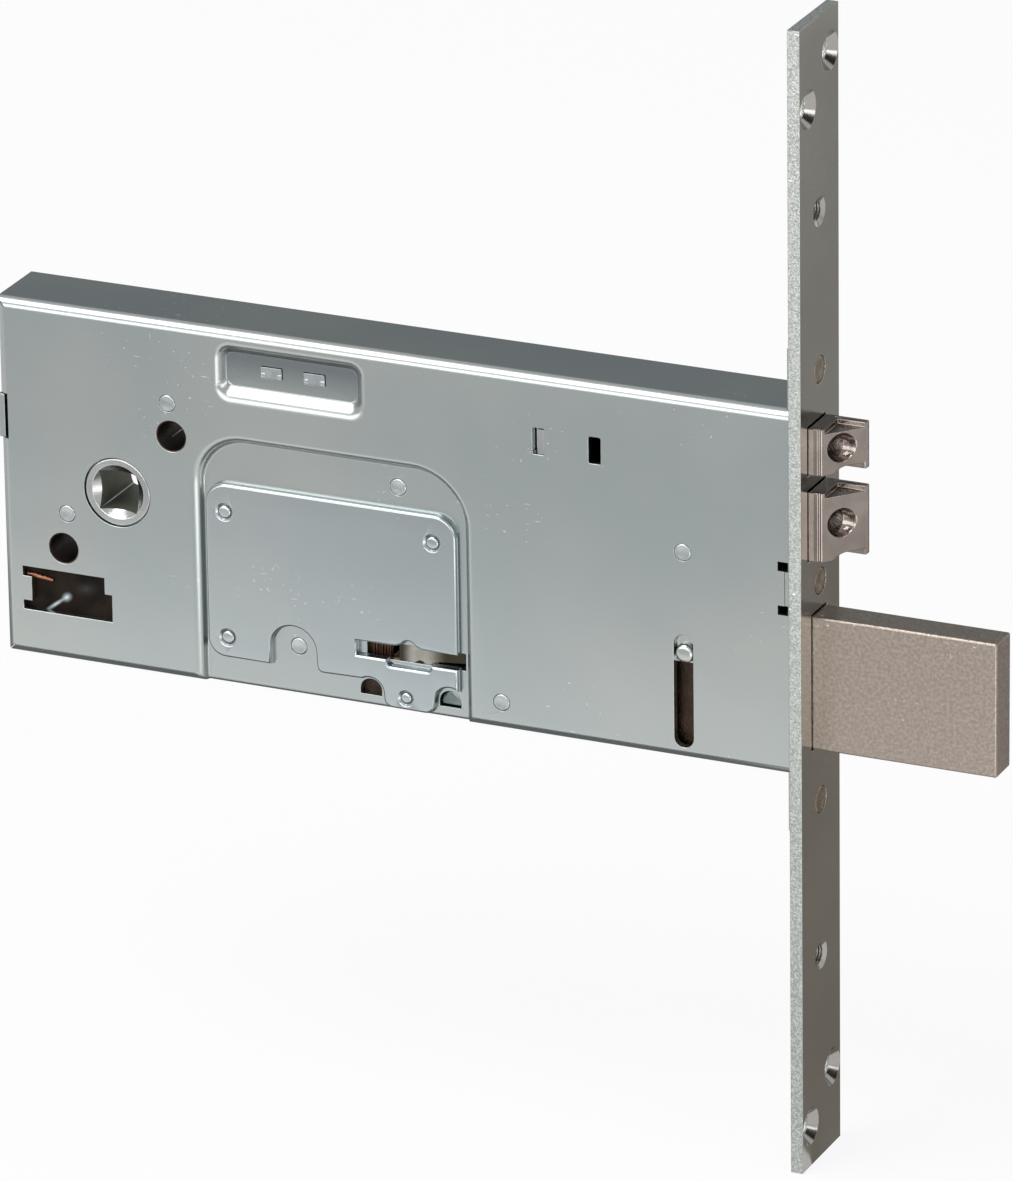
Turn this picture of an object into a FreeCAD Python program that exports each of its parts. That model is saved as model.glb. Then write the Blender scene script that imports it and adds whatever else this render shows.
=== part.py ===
import FreeCAD, Part
import math
import os

# Electric mortise lock: flat zinc-plated case, long faceplate, double latch, slab deadbolt,
# lever tumblers worked by a double-bit key, a square follower and a small solenoid.
# Frame: X = 0 on the faceplate's front, +X the way the bolts go out, -Y the side with the
# drill-protection plate, Z = 0 at the height of the follower's axis.

V = FreeCAD.Vector

# case of bent sheet
CASE_DEPTH = 167.0
CASE_HEIGHT = 74.0
CASE_THICK = 15.5
SHEET = 1.5
BEND = 2.0
COVER = 1.5

# The layout is drawn in a case 167 deep and 74 high. In another case its places move in the
# same share along and up, and sheets, pins, bores and clearances keep their size.
ALONG = CASE_DEPTH / 167.0
UP = CASE_HEIGHT / 74.0

# faceplate
FACE_TOP = 113.0
FACE_BOTTOM = -119.0
FACE_WIDTH = 19.0
FACE_THICK = 2.5
SCREW_SIDE = 5.4
SCREW_END_NEAR = 8.4
SCREW_END_FAR = 16.6
SCREW_HOLE = 4.5
SCREW_HEAD = 7.8
THREAD_SPACING = 152.8
THREAD_HOLE = 4.2
FACE_RIVET = 5.4
FACE_RIVET_HEAD = 7.6
FACE_RIVET_HEAD_THICK = 1.2
FACE_RIVET_ZS = (42.4 * UP, -0.6 * UP, -43.6 * UP)

# front bracket behind the faceplate
WEB = 1.5
LUG_WIDTH = 12.0
LUG_REACH = 12.0
TAB_TOP = 6.5 * UP
TAB_BOTTOM = -4.3 * UP
TAB_NOTCH = 1.9
TAB_NOTCH_DEPTH = 3.0
FOOT_LENGTH = 12.0
FOOT_THICK = 1.2
FOOT_GAP = 0.25

# follower and its fixing holes
HUB_BACKSET = 144.3 * ALONG
HUB_RING = 14.1
HUB_FIT = 0.08
HUB_BODY = 20.0
HUB_SQUARE = 8.0
HUB_DISH = 11.2
HUB_DISH_DEPTH = 1.5
HUB_ARM = 17.0
HUB_ARM_WIDTH = 6.0
HUB_ARM_THICK = 3.0
HUB_TURN = 35.0
HUB_NOTCH_DEPTH = 2.4
HUB_NOTCH_SPARE = 17.0
SLEEVE_X = 12.0
SLEEVE_Z = 13.4 * UP
SLEEVE_BORE = 6.4
SLEEVE_OUTER = 8.0

# draw bar that links the follower to the latch
BAR_BOTTOM = 22.0 * UP
BAR_HEIGHT = 5.5
BAR_Y = 1.6
BAR_THICK = 1.5
HOOK_GAP = 0.3
HOOK_WIDTH = 4.0
LATCH_TRAVEL = 9.6
BAR_SPRING_Z = 14.5 * UP
BAR_SPRING_RADIUS = 2.0
BAR_SPRING_WIRE = 0.5
BAR_SPRING_TURNS = 8
BAR_LIP = 2.4
BAR_GAP = 0.3
REST_THICK = 1.5

# two latch pieces
LATCH_SIDE = -5.6
LATCH_WIDTH = 8.7
LATCH_REACH = 9.4
LATCH_ROOT = 1.9
LATCH_PLATE = 1.7
LATCH_INSIDE = 5.5
LATCH_GAP = 0.25
LOWER_LATCH_BOTTOM = 6.1 * UP
LOWER_LATCH_HEIGHT = 13.9 * UP
UPPER_LATCH_BOTTOM = 23.5 * UP
UPPER_LATCH_HEIGHT = 9.3 * UP
LATCH_CUT_TOP = 1.1
LATCH_CUT_BOTTOM = 1.3
DIMPLE = 6.2
DIMPLE_DEPTH = 2.6
STEM = 4.0
COLLAR = 9.0
COLLAR_THICK = 3.0
GUIDE_X = 27.5 * ALONG
GUIDE_THICK = 1.5
LATCH_SPRING_RADIUS = 2.9
LATCH_SPRING_WIRE = 0.8
LATCH_SPRING_TURNS = 7

# deadbolt
BOLT_REACH = 37.5
BOLT_TOP = -5.2 * UP
BOLT_HEIGHT = 27.3 * UP
BOLT_SIDE = -4.05
BOLT_THICK = 7.0
BOLT_GAP = 0.3
BOLT_THROW = 36.0 * ALONG
BOLT_EDGE = 1.2
BOLT_INSIDE = 24.0 * ALONG
TAIL_THICK = 2.0
TAIL_LAP = 12.0 * ALONG
TAIL_REAR = 96.0 * ALONG
TAIL_TOP = 3.0 * UP
TAIL_BOTTOM = -18.5 * UP
TAIL_FRONT_BOTTOM = -22.5 * UP
TAIL_STEP = 40.0 * ALONG
TALON_PITCH = 12.0 * ALONG
TALON_WIDTH = 6.0
TALON_DEPTH = 5.0
TALONS = 4
STUMP_X = 70.0 * ALONG
STUMP_Z = -0.5 * UP
STUMP = 3.8
TAIL_RIVET = 3.0

# vertical slider with the pin seen in the case's slot
SLOT_X = 24.1 * ALONG
SLOT_WIDTH = 4.0
PIN = 3.5
PIN_Z = -15.5 * UP
SLIDER_TRAVEL = 17.0 * UP
SLIDER_THICK = 1.2
SLIDER_WIDTH = 10.0
SLIDER_TOP = 25.0 * UP
SLIDER_FOOT = 2.1
DRIVE_X = 60.0 * ALONG
DRIVE_Z = -2.0 * UP
ARM_HEIGHT = 6.0

# key side
KEY_BACKSET = 82.1 * ALONG
KEY_Z = -24.8 * UP
KEY_REACH = 11.0
KEY_SLOT = 3.0
KEY_MIDDLE_W = 9.6
KEY_MIDDLE_H = 5.6
ROTOR_JOURNAL = 10.0
ROTOR_FIT = 0.05
ROTOR_BODY = 11.0
ROTOR_SLOT = 3.2
ROTOR_BORE = 5.0

# pressed recess, pad and drill-protection plate
RECESS = 2.0
ARCH_REAR = 126.6 * ALONG
ARCH_FRONT = 69.7 * ALONG
ARCH_TOP = 13.8 * UP
ARCH_RADIUS_REAR = 9.5
ARCH_RADIUS_FRONT = 11.0
PAD_REAR = 121.8 * ALONG
PAD_FRONT = 90.9 * ALONG
PAD_TOP = 33.0 * UP
PAD_BOTTOM = 23.8 * UP
PAD_RADIUS = 2.6
PLATE = 1.5
PLATE_GAP = 0.9
PLATE_FRONT_GAP = 1.7
PLATE_TOP = 4.9 * UP
PLATE_BOTTOM = -31.2 * UP
PLATE_RADIUS = 4.5
PLATE_TAB_REAR = 88.4 * ALONG
PLATE_TAB_FRONT = 75.1 * ALONG
PLATE_NOTCH = 10.1
PLATE_NOTCH_TOP = -22.4 * UP
HALF_HOLE = 4.5
HALF_HOLE_TOP = -31.1 * UP
HALF_HOLE_BOTTOM = -34.9 * UP
HALF_HOLES = (PLATE_TAB_REAR + 1.8, PLATE_TAB_FRONT - 1.7)
SMALL_RIVET = 3.5

# tumbler levers
PIVOT_X = 105.9 * ALONG
PIVOT_Z = -26.3 * UP
LEVERS = 4
LEVER_THICK = 1.0
LEVER_GAP = 0.2
LEVER_Y = -1.7
LEVER_TOP = 6.5 * UP
LEVER_CLEAR = 1.2
WINDOW_HALF = 4.3
WINDOW_FRONT_GAP = 1.8

# openings in the front sheet
WIRE_REAR = CASE_DEPTH - 1.6
WIRE_STEP = WIRE_REAR - 17.7
WIRE_FRONT = WIRE_REAR - 19.3
WIRE_TOP = -18.4 * UP
WIRE_STEP_Z = -21.8 * UP
WIRE_BOTTOM = -27.4 * UP
TONGUE = 1.9
TONGUE_TOP = -20.4 * UP
TONGUE_BOTTOM = -25.5 * UP
SMALL_SLOT_W = 2.5
SMALL_SLOT_H = 5.4
SMALL_SLOTS = ((54.1 * ALONG, 23.5 * UP), (42.6 * ALONG, 23.1 * UP))
TENONS = ((110.7 * ALONG, 29.2 * UP), (101.5 * ALONG, 29.4 * UP))
TENON_W = 4.6
TENON_H = 2.4
REAR_TAB_TOP = 17.2 * UP
REAR_TAB_BOTTOM = 7.9 * UP
REAR_TAB_REACH = 1.6
REAR_TAB_THICK = 0.9

# through rivets that hold the two halves of the case together
CASE_RIVETS = (
    (HUB_BACKSET - 11.2, 19.8 * UP), (HUB_BACKSET + 11.1, -6.1), (84.0 * ALONG, 9.6 * UP),
    (62.3 * ALONG, -31.5 * UP), (SLOT_X, 5.4 * UP),
)
PLATE_RIVETS = (
    (ARCH_REAR - 5.1, PLATE_TOP - 5.7), (ARCH_FRONT + 7.2, PLATE_TOP - 5.3),
    (ARCH_REAR - 5.4, PLATE_BOTTOM + 4.2), (KEY_BACKSET + 0.7, PLATE_BOTTOM - 2.8),
)

# solenoid, locking pawl and terminals
COIL_REAR = CASE_DEPTH - 11.0
COIL_LENGTH = 19.5
COIL_FRONT = COIL_REAR - COIL_LENGTH
COIL_OUTER = 12.0
BOBBIN_FLANGE = 1.0
BOBBIN_TUBE = 5.6
PLUNGER = 4.0
PLUNGER_FIT = 0.1
YOKE = 1.5
PLUNGER_COLLAR = 7.0
PLUNGER_SPRING = 4.0
PAWL_X = HUB_BACKSET - 16.8
PAWL_HUB = 6.4
PAWL_ARM_WIDTH = 4.8
PAWL_Z = -4.0 * UP
PAWL_Y = 3.6
PAWL_THICK = 1.5
PAWL_ANGLE = -70.0
PAWL_REST_GAP = 0.4
PAWL_PIN = 3.0
TERMINAL_REAR = CASE_DEPTH - 0.2
TERMINAL_LENGTH = 8.4
TERMINAL_FRONT = TERMINAL_REAR - TERMINAL_LENGTH
TERMINAL_TOP = -19.0 * UP
TERMINAL_SCREW = 2.4

# worked out from the sizes above
CASE_FRONT = -FACE_THICK
CASE_BACK = CASE_FRONT - CASE_DEPTH
CASE_TOP = CASE_HEIGHT / 2
CASE_BOTTOM = -CASE_HEIGHT / 2
SIDE = -CASE_THICK / 2
SIDE_IN = SIDE + SHEET
COVER_OUT = CASE_THICK / 2
COVER_IN = COVER_OUT - COVER
RECESS_OUT = SIDE + RECESS
RECESS_IN = RECESS_OUT + SHEET
WALL_TOP = CASE_TOP - SHEET
WALL_BOTTOM = CASE_BOTTOM + SHEET
WALL_BACK = CASE_BACK + SHEET
WEB_BACK = CASE_FRONT - WEB
LATCH_Y = LATCH_SIDE + LATCH_WIDTH / 2
LATCH_BACK = WEB_BACK - LATCH_INSIDE
BAR_FRONT_X = -GUIDE_X - LATCH_TRAVEL
HUB_X = -HUB_BACKSET
COIL_Z = WALL_BOTTOM + YOKE + 1.0 + COIL_OUTER / 2


def box(x0, x1, y0, y1, z0, z1):
    return Part.makeBox(x1 - x0, y1 - y0, z1 - z0, V(x0, y0, z0))


def rod_y(x, z, radius, y0, y1):
    return Part.makeCylinder(radius, y1 - y0, V(x, y0, z), V(0, 1, 0))


def rod_x(y, z, radius, x0, x1):
    return Part.makeCylinder(radius, x1 - x0, V(x0, y, z), V(1, 0, 0))


def polygon_y(points, y0, y1):
    wire = Part.makePolygon([V(x, y0, z) for x, z in points + points[:1]])
    return Part.Face(wire).extrude(V(0, y1 - y0, 0))


def slot_y(xa, za, xb, zb, width, y0, y1):
    """A round-ended slot whose two end centres are given."""
    along = V(xb - xa, 0, zb - za)
    along.normalize()
    side = V(-along.z, 0, along.x) * (width / 2)
    a = V(xa, y0, za)
    b = V(xb, y0, zb)
    tip_a = a - along * (width / 2)
    tip_b = b + along * (width / 2)
    edges = [
        Part.LineSegment(a + side, b + side).toShape(),
        Part.Arc(b + side, tip_b, b - side).toShape(),
        Part.LineSegment(b - side, a - side).toShape(),
        Part.Arc(a - side, tip_a, a + side).toShape(),
    ]
    return Part.Face(Part.Wire(edges)).extrude(V(0, y1 - y0, 0))


def rounded_wire(x0, x1, z0, z1, radii, y):
    """A rectangle in an XZ plane; radii are for the corners top-left, top-right,
    bottom-right and bottom-left, and 0 leaves a corner sharp."""
    tl, tr, br, bl = radii
    corners = [
        (V(x0, y, z1), V(0, 0, 1), V(1, 0, 0), tl),
        (V(x1, y, z1), V(1, 0, 0), V(0, 0, -1), tr),
        (V(x1, y, z0), V(0, 0, -1), V(-1, 0, 0), br),
        (V(x0, y, z0), V(-1, 0, 0), V(0, 0, 1), bl),
    ]
    edges = []
    ends = []
    for corner, before, after, radius in corners:
        start = corner - before * radius
        end = corner + after * radius
        middle = corner + (after - before) * (radius * (1 - math.sqrt(0.5)))
        ends.append((start, middle, end, radius))
    for index, (start, middle, end, radius) in enumerate(ends):
        if radius > 0:
            edges.append(Part.Arc(start, middle, end).toShape())
        edges.append(Part.LineSegment(end, ends[(index + 1) % 4][0]).toShape())
    return Part.Wire(edges)


def rounded_y(x0, x1, z0, z1, radii, y0, y1):
    return Part.Face(rounded_wire(x0, x1, z0, z1, radii, y0)).extrude(V(0, y1 - y0, 0))


def spring_x(y, z, radius, wire, turns, x0, x1):
    """A helical compression spring along X between x0 and x1, lofted through six-sided sections."""
    per_turn = 12
    steps = round(turns * per_turn)
    sections = []
    for step in range(steps + 1):
        turn = 2 * math.pi * step / per_turn
        out = V(0, math.cos(turn), math.sin(turn))
        middle = V(x0 + wire / 2 + (x1 - x0 - wire) * step / steps, y, z) + out * radius
        corners = []
        for side in range(6):
            angle = math.pi * side / 3
            corners.append(middle + out * (wire / 2 * math.cos(angle)) + V(wire / 2 * math.sin(angle), 0, 0))
        sections.append(Part.makePolygon(corners + corners[:1]))
    return Part.makeLoft(sections, True, True)


def fuse(first, *others):
    return first.multiFuse(list(others)).removeSplitter()


def cut(solid, *tools):
    return solid.cut(list(tools))


# slopes of a pressed edge: how far the outline stands out at each share of the depth
PRESS_PROFILE = ((0.0, 0.9), (0.1, 0.45), (0.3, 0.15), (0.7, -0.15), (0.9, -0.45), (1.0, -0.9))


def pressed(outline, surface, depth):
    """The space that a press tool sinks into a sheet: a loft between offset outlines."""
    wires = [outline(PRESS_PROFILE[0][1], surface - 1.0)]
    for share, offset in PRESS_PROFILE:
        wires.append(outline(offset, surface + share * depth))
    return Part.makeLoft(wires, True, True)


def arch_outline(offset, y):
    return rounded_wire(-ARCH_REAR - offset, -ARCH_FRONT + offset, CASE_BOTTOM - 3.0, ARCH_TOP + offset,
                        (ARCH_RADIUS_REAR + offset, ARCH_RADIUS_FRONT + offset, 0, 0), y)


def arch_wall_outline(offset, y):
    return rounded_wire(-ARCH_REAR - offset, -ARCH_FRONT + offset, CASE_BOTTOM + SHEET / 2, ARCH_TOP + offset,
                        (ARCH_RADIUS_REAR + offset, ARCH_RADIUS_FRONT + offset, 0, 0), y)


def pad_outline(offset, y):
    radius = PAD_RADIUS + offset
    return rounded_wire(-PAD_REAR - offset, -PAD_FRONT + offset, PAD_BOTTOM - offset, PAD_TOP + offset,
                        (radius, radius, radius, radius), y)


def grown(outline, extra):
    return lambda offset, y: outline(offset + extra, y)


def keyhole(y0, y1):
    x = -KEY_BACKSET
    bar = box(x - KEY_REACH, x + KEY_REACH, y0, y1, KEY_Z - KEY_SLOT / 2, KEY_Z + KEY_SLOT / 2)
    middle = rounded_y(x - KEY_MIDDLE_W / 2, x + KEY_MIDDLE_W / 2, KEY_Z - KEY_MIDDLE_H / 2,
                       KEY_Z + KEY_MIDDLE_H / 2, (1.8, 1.8, 1.8, 1.8), y0, y1)
    return fuse(bar, middle)


def half_holes(y0, y1):
    """The two round-topped holes beside the plate's tab."""
    half = HALF_HOLE / 2
    round_top = (half - 0.1, half - 0.1, 0, 0)
    holes = []
    for x in HALF_HOLES:
        holes.append(rounded_y(-x - half, -x + half, HALF_HOLE_BOTTOM, HALF_HOLE_TOP, round_top, y0, y1))
    return holes


def face_screws():
    """Centres of the four countersunk screw holes, mirrored through the faceplate's middle."""
    near_top = FACE_TOP - SCREW_END_NEAR
    far_top = FACE_TOP - SCREW_END_FAR
    near_bottom = FACE_BOTTOM + SCREW_END_NEAR
    far_bottom = FACE_BOTTOM + SCREW_END_FAR
    return [
        (SCREW_SIDE, near_top), (-SCREW_SIDE, far_top),
        (SCREW_SIDE, far_bottom), (-SCREW_SIDE, near_bottom),
    ]


def latch_window(bottom, height, x0, x1):
    return box(x0, x1, LATCH_SIDE - LATCH_GAP, LATCH_SIDE + LATCH_WIDTH + LATCH_GAP,
               bottom - LATCH_GAP, bottom + height + LATCH_GAP)


def bolt_window(x0, x1):
    return box(x0, x1, BOLT_SIDE - BOLT_GAP, BOLT_SIDE + BOLT_THICK + BOLT_GAP,
               BOLT_TOP - BOLT_HEIGHT - BOLT_GAP, BOLT_TOP + BOLT_GAP)


def front_windows(x0, x1):
    return [
        latch_window(LOWER_LATCH_BOTTOM, LOWER_LATCH_HEIGHT, x0, x1),
        latch_window(UPPER_LATCH_BOTTOM, UPPER_LATCH_HEIGHT, x0, x1),
        bolt_window(x0, x1),
    ]


def faceplate():
    half = FACE_WIDTH / 2
    plate = box(CASE_FRONT, 0, -half, half, FACE_BOTTOM, FACE_TOP)
    tools = front_windows(CASE_FRONT - 1, 1)
    sink = (SCREW_HEAD - SCREW_HOLE) / 2
    for y, z in face_screws():
        tools.append(rod_x(y, z, SCREW_HOLE / 2, CASE_FRONT - 1, 1))
        cone = Part.makeCone(SCREW_HOLE / 2, SCREW_HEAD / 2 + 0.1, sink + 0.1, V(-sink, y, z), V(1, 0, 0))
        tools.append(cone)
    for z in (THREAD_SPACING / 2, -THREAD_SPACING / 2):
        tools.append(rod_x(0, z, THREAD_HOLE / 2, CASE_FRONT - 1, 1))
    for z in FACE_RIVET_ZS:
        tools.append(rod_x(0, z, FACE_RIVET / 2, CASE_FRONT - 1, 1))
    return cut(plate, *tools)


def faceplate_rivets():
    """Rivets whose shanks fill the faceplate's holes and whose heads lie behind the bracket."""
    rivets = []
    for z in FACE_RIVET_ZS:
        shank = rod_x(0, z, FACE_RIVET / 2, WEB_BACK, 0)
        head = rod_x(0, z, FACE_RIVET_HEAD / 2, WEB_BACK - FACE_RIVET_HEAD_THICK, WEB_BACK)
        rivets.append(fuse(shank, head))
    return Part.makeCompound(rivets)


def front_bracket():
    half = LUG_WIDTH / 2
    web = box(WEB_BACK, CASE_FRONT, -half, half, CASE_BOTTOM - LUG_REACH, CASE_TOP + LUG_REACH)
    tab = box(WEB_BACK, CASE_FRONT, SIDE, -half, TAB_BOTTOM + TAB_NOTCH, TAB_TOP - TAB_NOTCH)
    feet = []
    for low in (WALL_BOTTOM, WALL_TOP - FOOT_THICK):
        foot = box(WEB_BACK - FOOT_LENGTH, WEB_BACK, SIDE_IN + FOOT_GAP, COVER_IN - FOOT_GAP, low, low + FOOT_THICK)
        feet.append(foot)
    body = fuse(web, tab, *feet)
    holes = [rod_x(0, z, FACE_RIVET / 2, WEB_BACK - 1, 1) for z in FACE_RIVET_ZS]
    return cut(body, *front_windows(WEB_BACK - 1, 1), *holes)


def case_shell():
    """Front sheet with the top, rear and bottom flanges bent from it."""
    outer = box(CASE_BACK, CASE_FRONT, SIDE, COVER_OUT, CASE_BOTTOM, CASE_TOP)
    bends = [edge for edge in outer.Edges if is_bend(edge)]
    outer = outer.makeFillet(BEND, bends)
    inner = box(WALL_BACK, CASE_FRONT + 1, SIDE_IN, COVER_OUT + 1, WALL_BOTTOM, WALL_TOP)
    shell = outer.cut(inner)
    clip = box(WALL_BACK, CASE_FRONT, SIDE_IN - 0.5, COVER_OUT, WALL_BOTTOM - 0.5, WALL_TOP)
    arch_wall = pressed(grown(arch_wall_outline, SHEET), SIDE_IN - 0.2, RECESS + 0.2).common(clip)
    pad_wall = pressed(grown(pad_outline, SHEET), SIDE_IN - 0.2, RECESS + 0.2).common(clip)
    shell = fuse(shell, arch_wall, pad_wall)
    tools = [pressed(arch_outline, SIDE, RECESS), pressed(pad_outline, SIDE, RECESS)]
    through = (SIDE - 1, RECESS_IN + 1)
    tools.append(rod_y(HUB_X, 0, HUB_RING / 2 + HUB_FIT, *through))
    for sign in (1, -1):
        tools.append(rod_y(HUB_X + sign * SLEEVE_X, sign * SLEEVE_Z, SLEEVE_BORE / 2, *through))
    for x, z in CASE_RIVETS + PLATE_RIVETS + ((PIVOT_X, PIVOT_Z),):
        tools.append(rod_y(-x, z, SMALL_RIVET / 2, *through))
    tools.append(rod_y(-KEY_BACKSET, KEY_Z, ROTOR_JOURNAL / 2, *through))
    tools.append(keyhole(*through))
    tools.extend(half_holes(*through))
    slot_low = PIN_Z - SLIDER_TRAVEL
    tools.append(slot_y(-SLOT_X, PIN_Z + 2.0, -SLOT_X, slot_low, SLOT_WIDTH, *through))
    for x, z in SMALL_SLOTS:
        tools.append(rounded_y(-x - SMALL_SLOT_W / 2, -x + SMALL_SLOT_W / 2, z - SMALL_SLOT_H / 2,
                               z + SMALL_SLOT_H / 2, (0.4, 0.4, 0.4, 0.4), *through))
    for x, z in TENONS:
        tools.append(box(-x - TENON_W / 2, -x + TENON_W / 2, *through, z - TENON_H / 2, z + TENON_H / 2))
    tools.append(polygon_y(wire_outline(), *through))
    rear_gap = CASE_BACK + REAR_TAB_REACH
    tools.append(box(CASE_BACK - 1, rear_gap, SIDE - 1, SIDE_IN, REAR_TAB_BOTTOM, REAR_TAB_TOP))
    notch_back = CASE_FRONT - TAB_NOTCH_DEPTH
    tools.append(box(notch_back, 0, SIDE - 1, SIDE_IN, TAB_TOP - TAB_NOTCH, TAB_TOP))
    tools.append(box(notch_back, 0, SIDE - 1, SIDE_IN, TAB_BOTTOM, TAB_BOTTOM + TAB_NOTCH))
    tools.append(box(WEB_BACK - 0.1, 0, SIDE - 1, SIDE_IN, TAB_BOTTOM, TAB_TOP))
    lug = LUG_WIDTH / 2 + 0.1
    tools.append(box(WEB_BACK - 0.1, 0, -lug, lug, CASE_BOTTOM - 1, CASE_TOP + 1))
    tab_end = CASE_BACK + REAR_TAB_THICK
    tab = box(CASE_BACK, tab_end, SIDE + 0.2, SIDE_IN + 0.5, REAR_TAB_BOTTOM + 0.2, REAR_TAB_TOP - 0.2)
    return fuse(cut(shell, *tools), tab)


def is_bend(edge):
    """The three edges of the blank box that the sheet is bent round: top, rear and bottom."""
    box_of = edge.BoundBox
    on_side = abs(box_of.YMin - SIDE) < 0.01 and abs(box_of.YMax - SIDE) < 0.01
    return on_side and abs(box_of.XMin - CASE_FRONT) > 0.01


def wire_outline():
    """Stepped cut-out with a short tongue that stands in from its rear edge."""
    return [
        (-WIRE_REAR, WIRE_TOP), (-WIRE_STEP, WIRE_TOP), (-WIRE_STEP, WIRE_STEP_Z), (-WIRE_FRONT, WIRE_STEP_Z),
        (-WIRE_FRONT, WIRE_BOTTOM), (-WIRE_REAR, WIRE_BOTTOM), (-WIRE_REAR, TONGUE_BOTTOM),
        (-WIRE_REAR + TONGUE, TONGUE_BOTTOM), (-WIRE_REAR + TONGUE, TONGUE_TOP), (-WIRE_REAR, TONGUE_TOP),
    ]


def back_cover():
    gap = 0.15
    cover = box(WALL_BACK + gap, WEB_BACK, COVER_IN, COVER_OUT, WALL_BOTTOM + gap, WALL_TOP - gap)
    through = (COVER_IN - 1, COVER_OUT + 1)
    tools = [rod_y(HUB_X, 0, HUB_RING / 2 + HUB_FIT, *through)]
    for sign in (1, -1):
        tools.append(rod_y(HUB_X + sign * SLEEVE_X, sign * SLEEVE_Z, SLEEVE_BORE / 2, *through))
    for x, z in CASE_RIVETS + ((PIVOT_X, PIVOT_Z), (PAWL_X, PAWL_Z)):
        tools.append(rod_y(-x, z, SMALL_RIVET / 2, *through))
    tools.append(rod_y(-KEY_BACKSET, KEY_Z, ROTOR_JOURNAL / 2, *through))
    tools.append(keyhole(*through))
    return cut(cover, *tools)


def hardened_plate():
    """Drill-protection plate that lies in the pressed arch round the keyhole."""
    rear = -ARCH_REAR + PLATE_GAP
    front = -ARCH_FRONT - PLATE_FRONT_GAP
    y0 = RECESS_OUT - PLATE
    y1 = RECESS_OUT
    body = rounded_y(rear, front, PLATE_BOTTOM, PLATE_TOP, (PLATE_RADIUS, PLATE_RADIUS, 0, 0), y0, y1)
    low = CASE_BOTTOM + 0.6
    tab = rounded_y(-PLATE_TAB_REAR, -PLATE_TAB_FRONT, low, PLATE_BOTTOM + 1.0, (0, 0, 1.0, 1.0), y0, y1)
    body = fuse(body, tab)
    notch_r = PLATE_NOTCH / 2
    tools = [rounded_y(-PIVOT_X - notch_r, -PIVOT_X + notch_r, PLATE_BOTTOM - 1, PLATE_NOTCH_TOP,
                       (notch_r - 0.6, notch_r - 0.6, 0, 0), y0 - 1, y1 + 1)]
    tools.extend(half_holes(y0 - 1, y1 + 1))
    for x, z in PLATE_RIVETS:
        tools.append(rod_y(-x, z, SMALL_RIVET / 2, y0 - 1, y1 + 1))
    tools.append(keyhole(y0 - 1, y1 + 1))
    plate = cut(body, *tools)
    rim = [edge for edge in plate.Edges if is_plate_rim(edge, y0)]
    return plate.makeFillet(0.45, rim)


def is_plate_rim(edge, y0):
    """Edges of the plate's outer face along its top and its two sides."""
    box_of = edge.BoundBox
    on_face = abs(box_of.YMin - y0) < 0.01 and abs(box_of.YMax - y0) < 0.01
    top = box_of.ZMin > PLATE_TOP - PLATE_RADIUS - 0.01
    sides = box_of.XLength < 0.01 and box_of.ZLength > 30
    return on_face and (top or sides)


def rivet_y(x, z, radius, y0, y1, crown):
    """A short rivet with a low crown standing from its y0 end."""
    shank = rod_y(x, z, radius, y0, y1)
    dome = Part.makeCone(radius - 0.5, radius, crown, V(x, y0 - crown, z), V(0, 1, 0))
    return fuse(dome, shank)


def plate_rivets():
    top = RECESS_OUT - PLATE
    return Part.makeCompound([rivet_y(-x, z, SMALL_RIVET / 2, top, RECESS_IN, 0.25) for x, z in PLATE_RIVETS])


def case_rivets():
    """Spacer rivets: thin ends in the two sheets and a thicker body between them."""
    rivets = []
    for x, z in CASE_RIVETS:
        in_arch = ARCH_FRONT < x < ARCH_REAR and z < ARCH_TOP
        front = RECESS_OUT if in_arch else SIDE
        rivets.append(rivet_y(-x, z, SMALL_RIVET / 2, front, COVER_OUT, 0.2))
    return Part.makeCompound(rivets)


def screw_sleeves():
    sleeves = []
    for sign in (1, -1):
        x = HUB_X + sign * SLEEVE_X
        z = sign * SLEEVE_Z
        tube = rod_y(x, z, SLEEVE_OUTER / 2, SIDE_IN, COVER_IN)
        sleeves.append(cut(tube, rod_y(x, z, SLEEVE_BORE / 2, SIDE_IN - 1, COVER_IN + 1)))
    return Part.makeCompound(sleeves)


def follower():
    ring_r = HUB_RING / 2
    inner = 0.3
    drum = rod_y(HUB_X, 0, HUB_BODY / 2, SIDE_IN + inner, COVER_IN - inner)
    ring = rod_y(HUB_X, 0, ring_r, SIDE + 0.2, COVER_OUT - 0.2)
    y0 = BAR_Y + BAR_THICK / 2 - HUB_ARM_THICK / 2
    half = HUB_ARM_WIDTH / 2
    arm = box(HUB_X - half, HUB_X + half, y0, y0 + HUB_ARM_THICK, 0, HUB_ARM)
    body = fuse(drum, ring, arm)
    half_square = HUB_SQUARE / 2
    square = box(HUB_X - half_square, HUB_X + half_square, SIDE - 1, COVER_OUT + 1, -half_square, half_square)
    face = SIDE + 0.2
    dish = Part.makeCone(HUB_DISH / 2, half_square, HUB_DISH_DEPTH, V(HUB_X, face, 0), V(0, 1, 0))
    far_face = COVER_OUT - 0.2
    far_dish = Part.makeCone(HUB_DISH / 2, half_square, HUB_DISH_DEPTH, V(HUB_X, far_face, 0), V(0, -1, 0))
    return cut(body, square, dish, far_dish, hub_notch())


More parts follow.
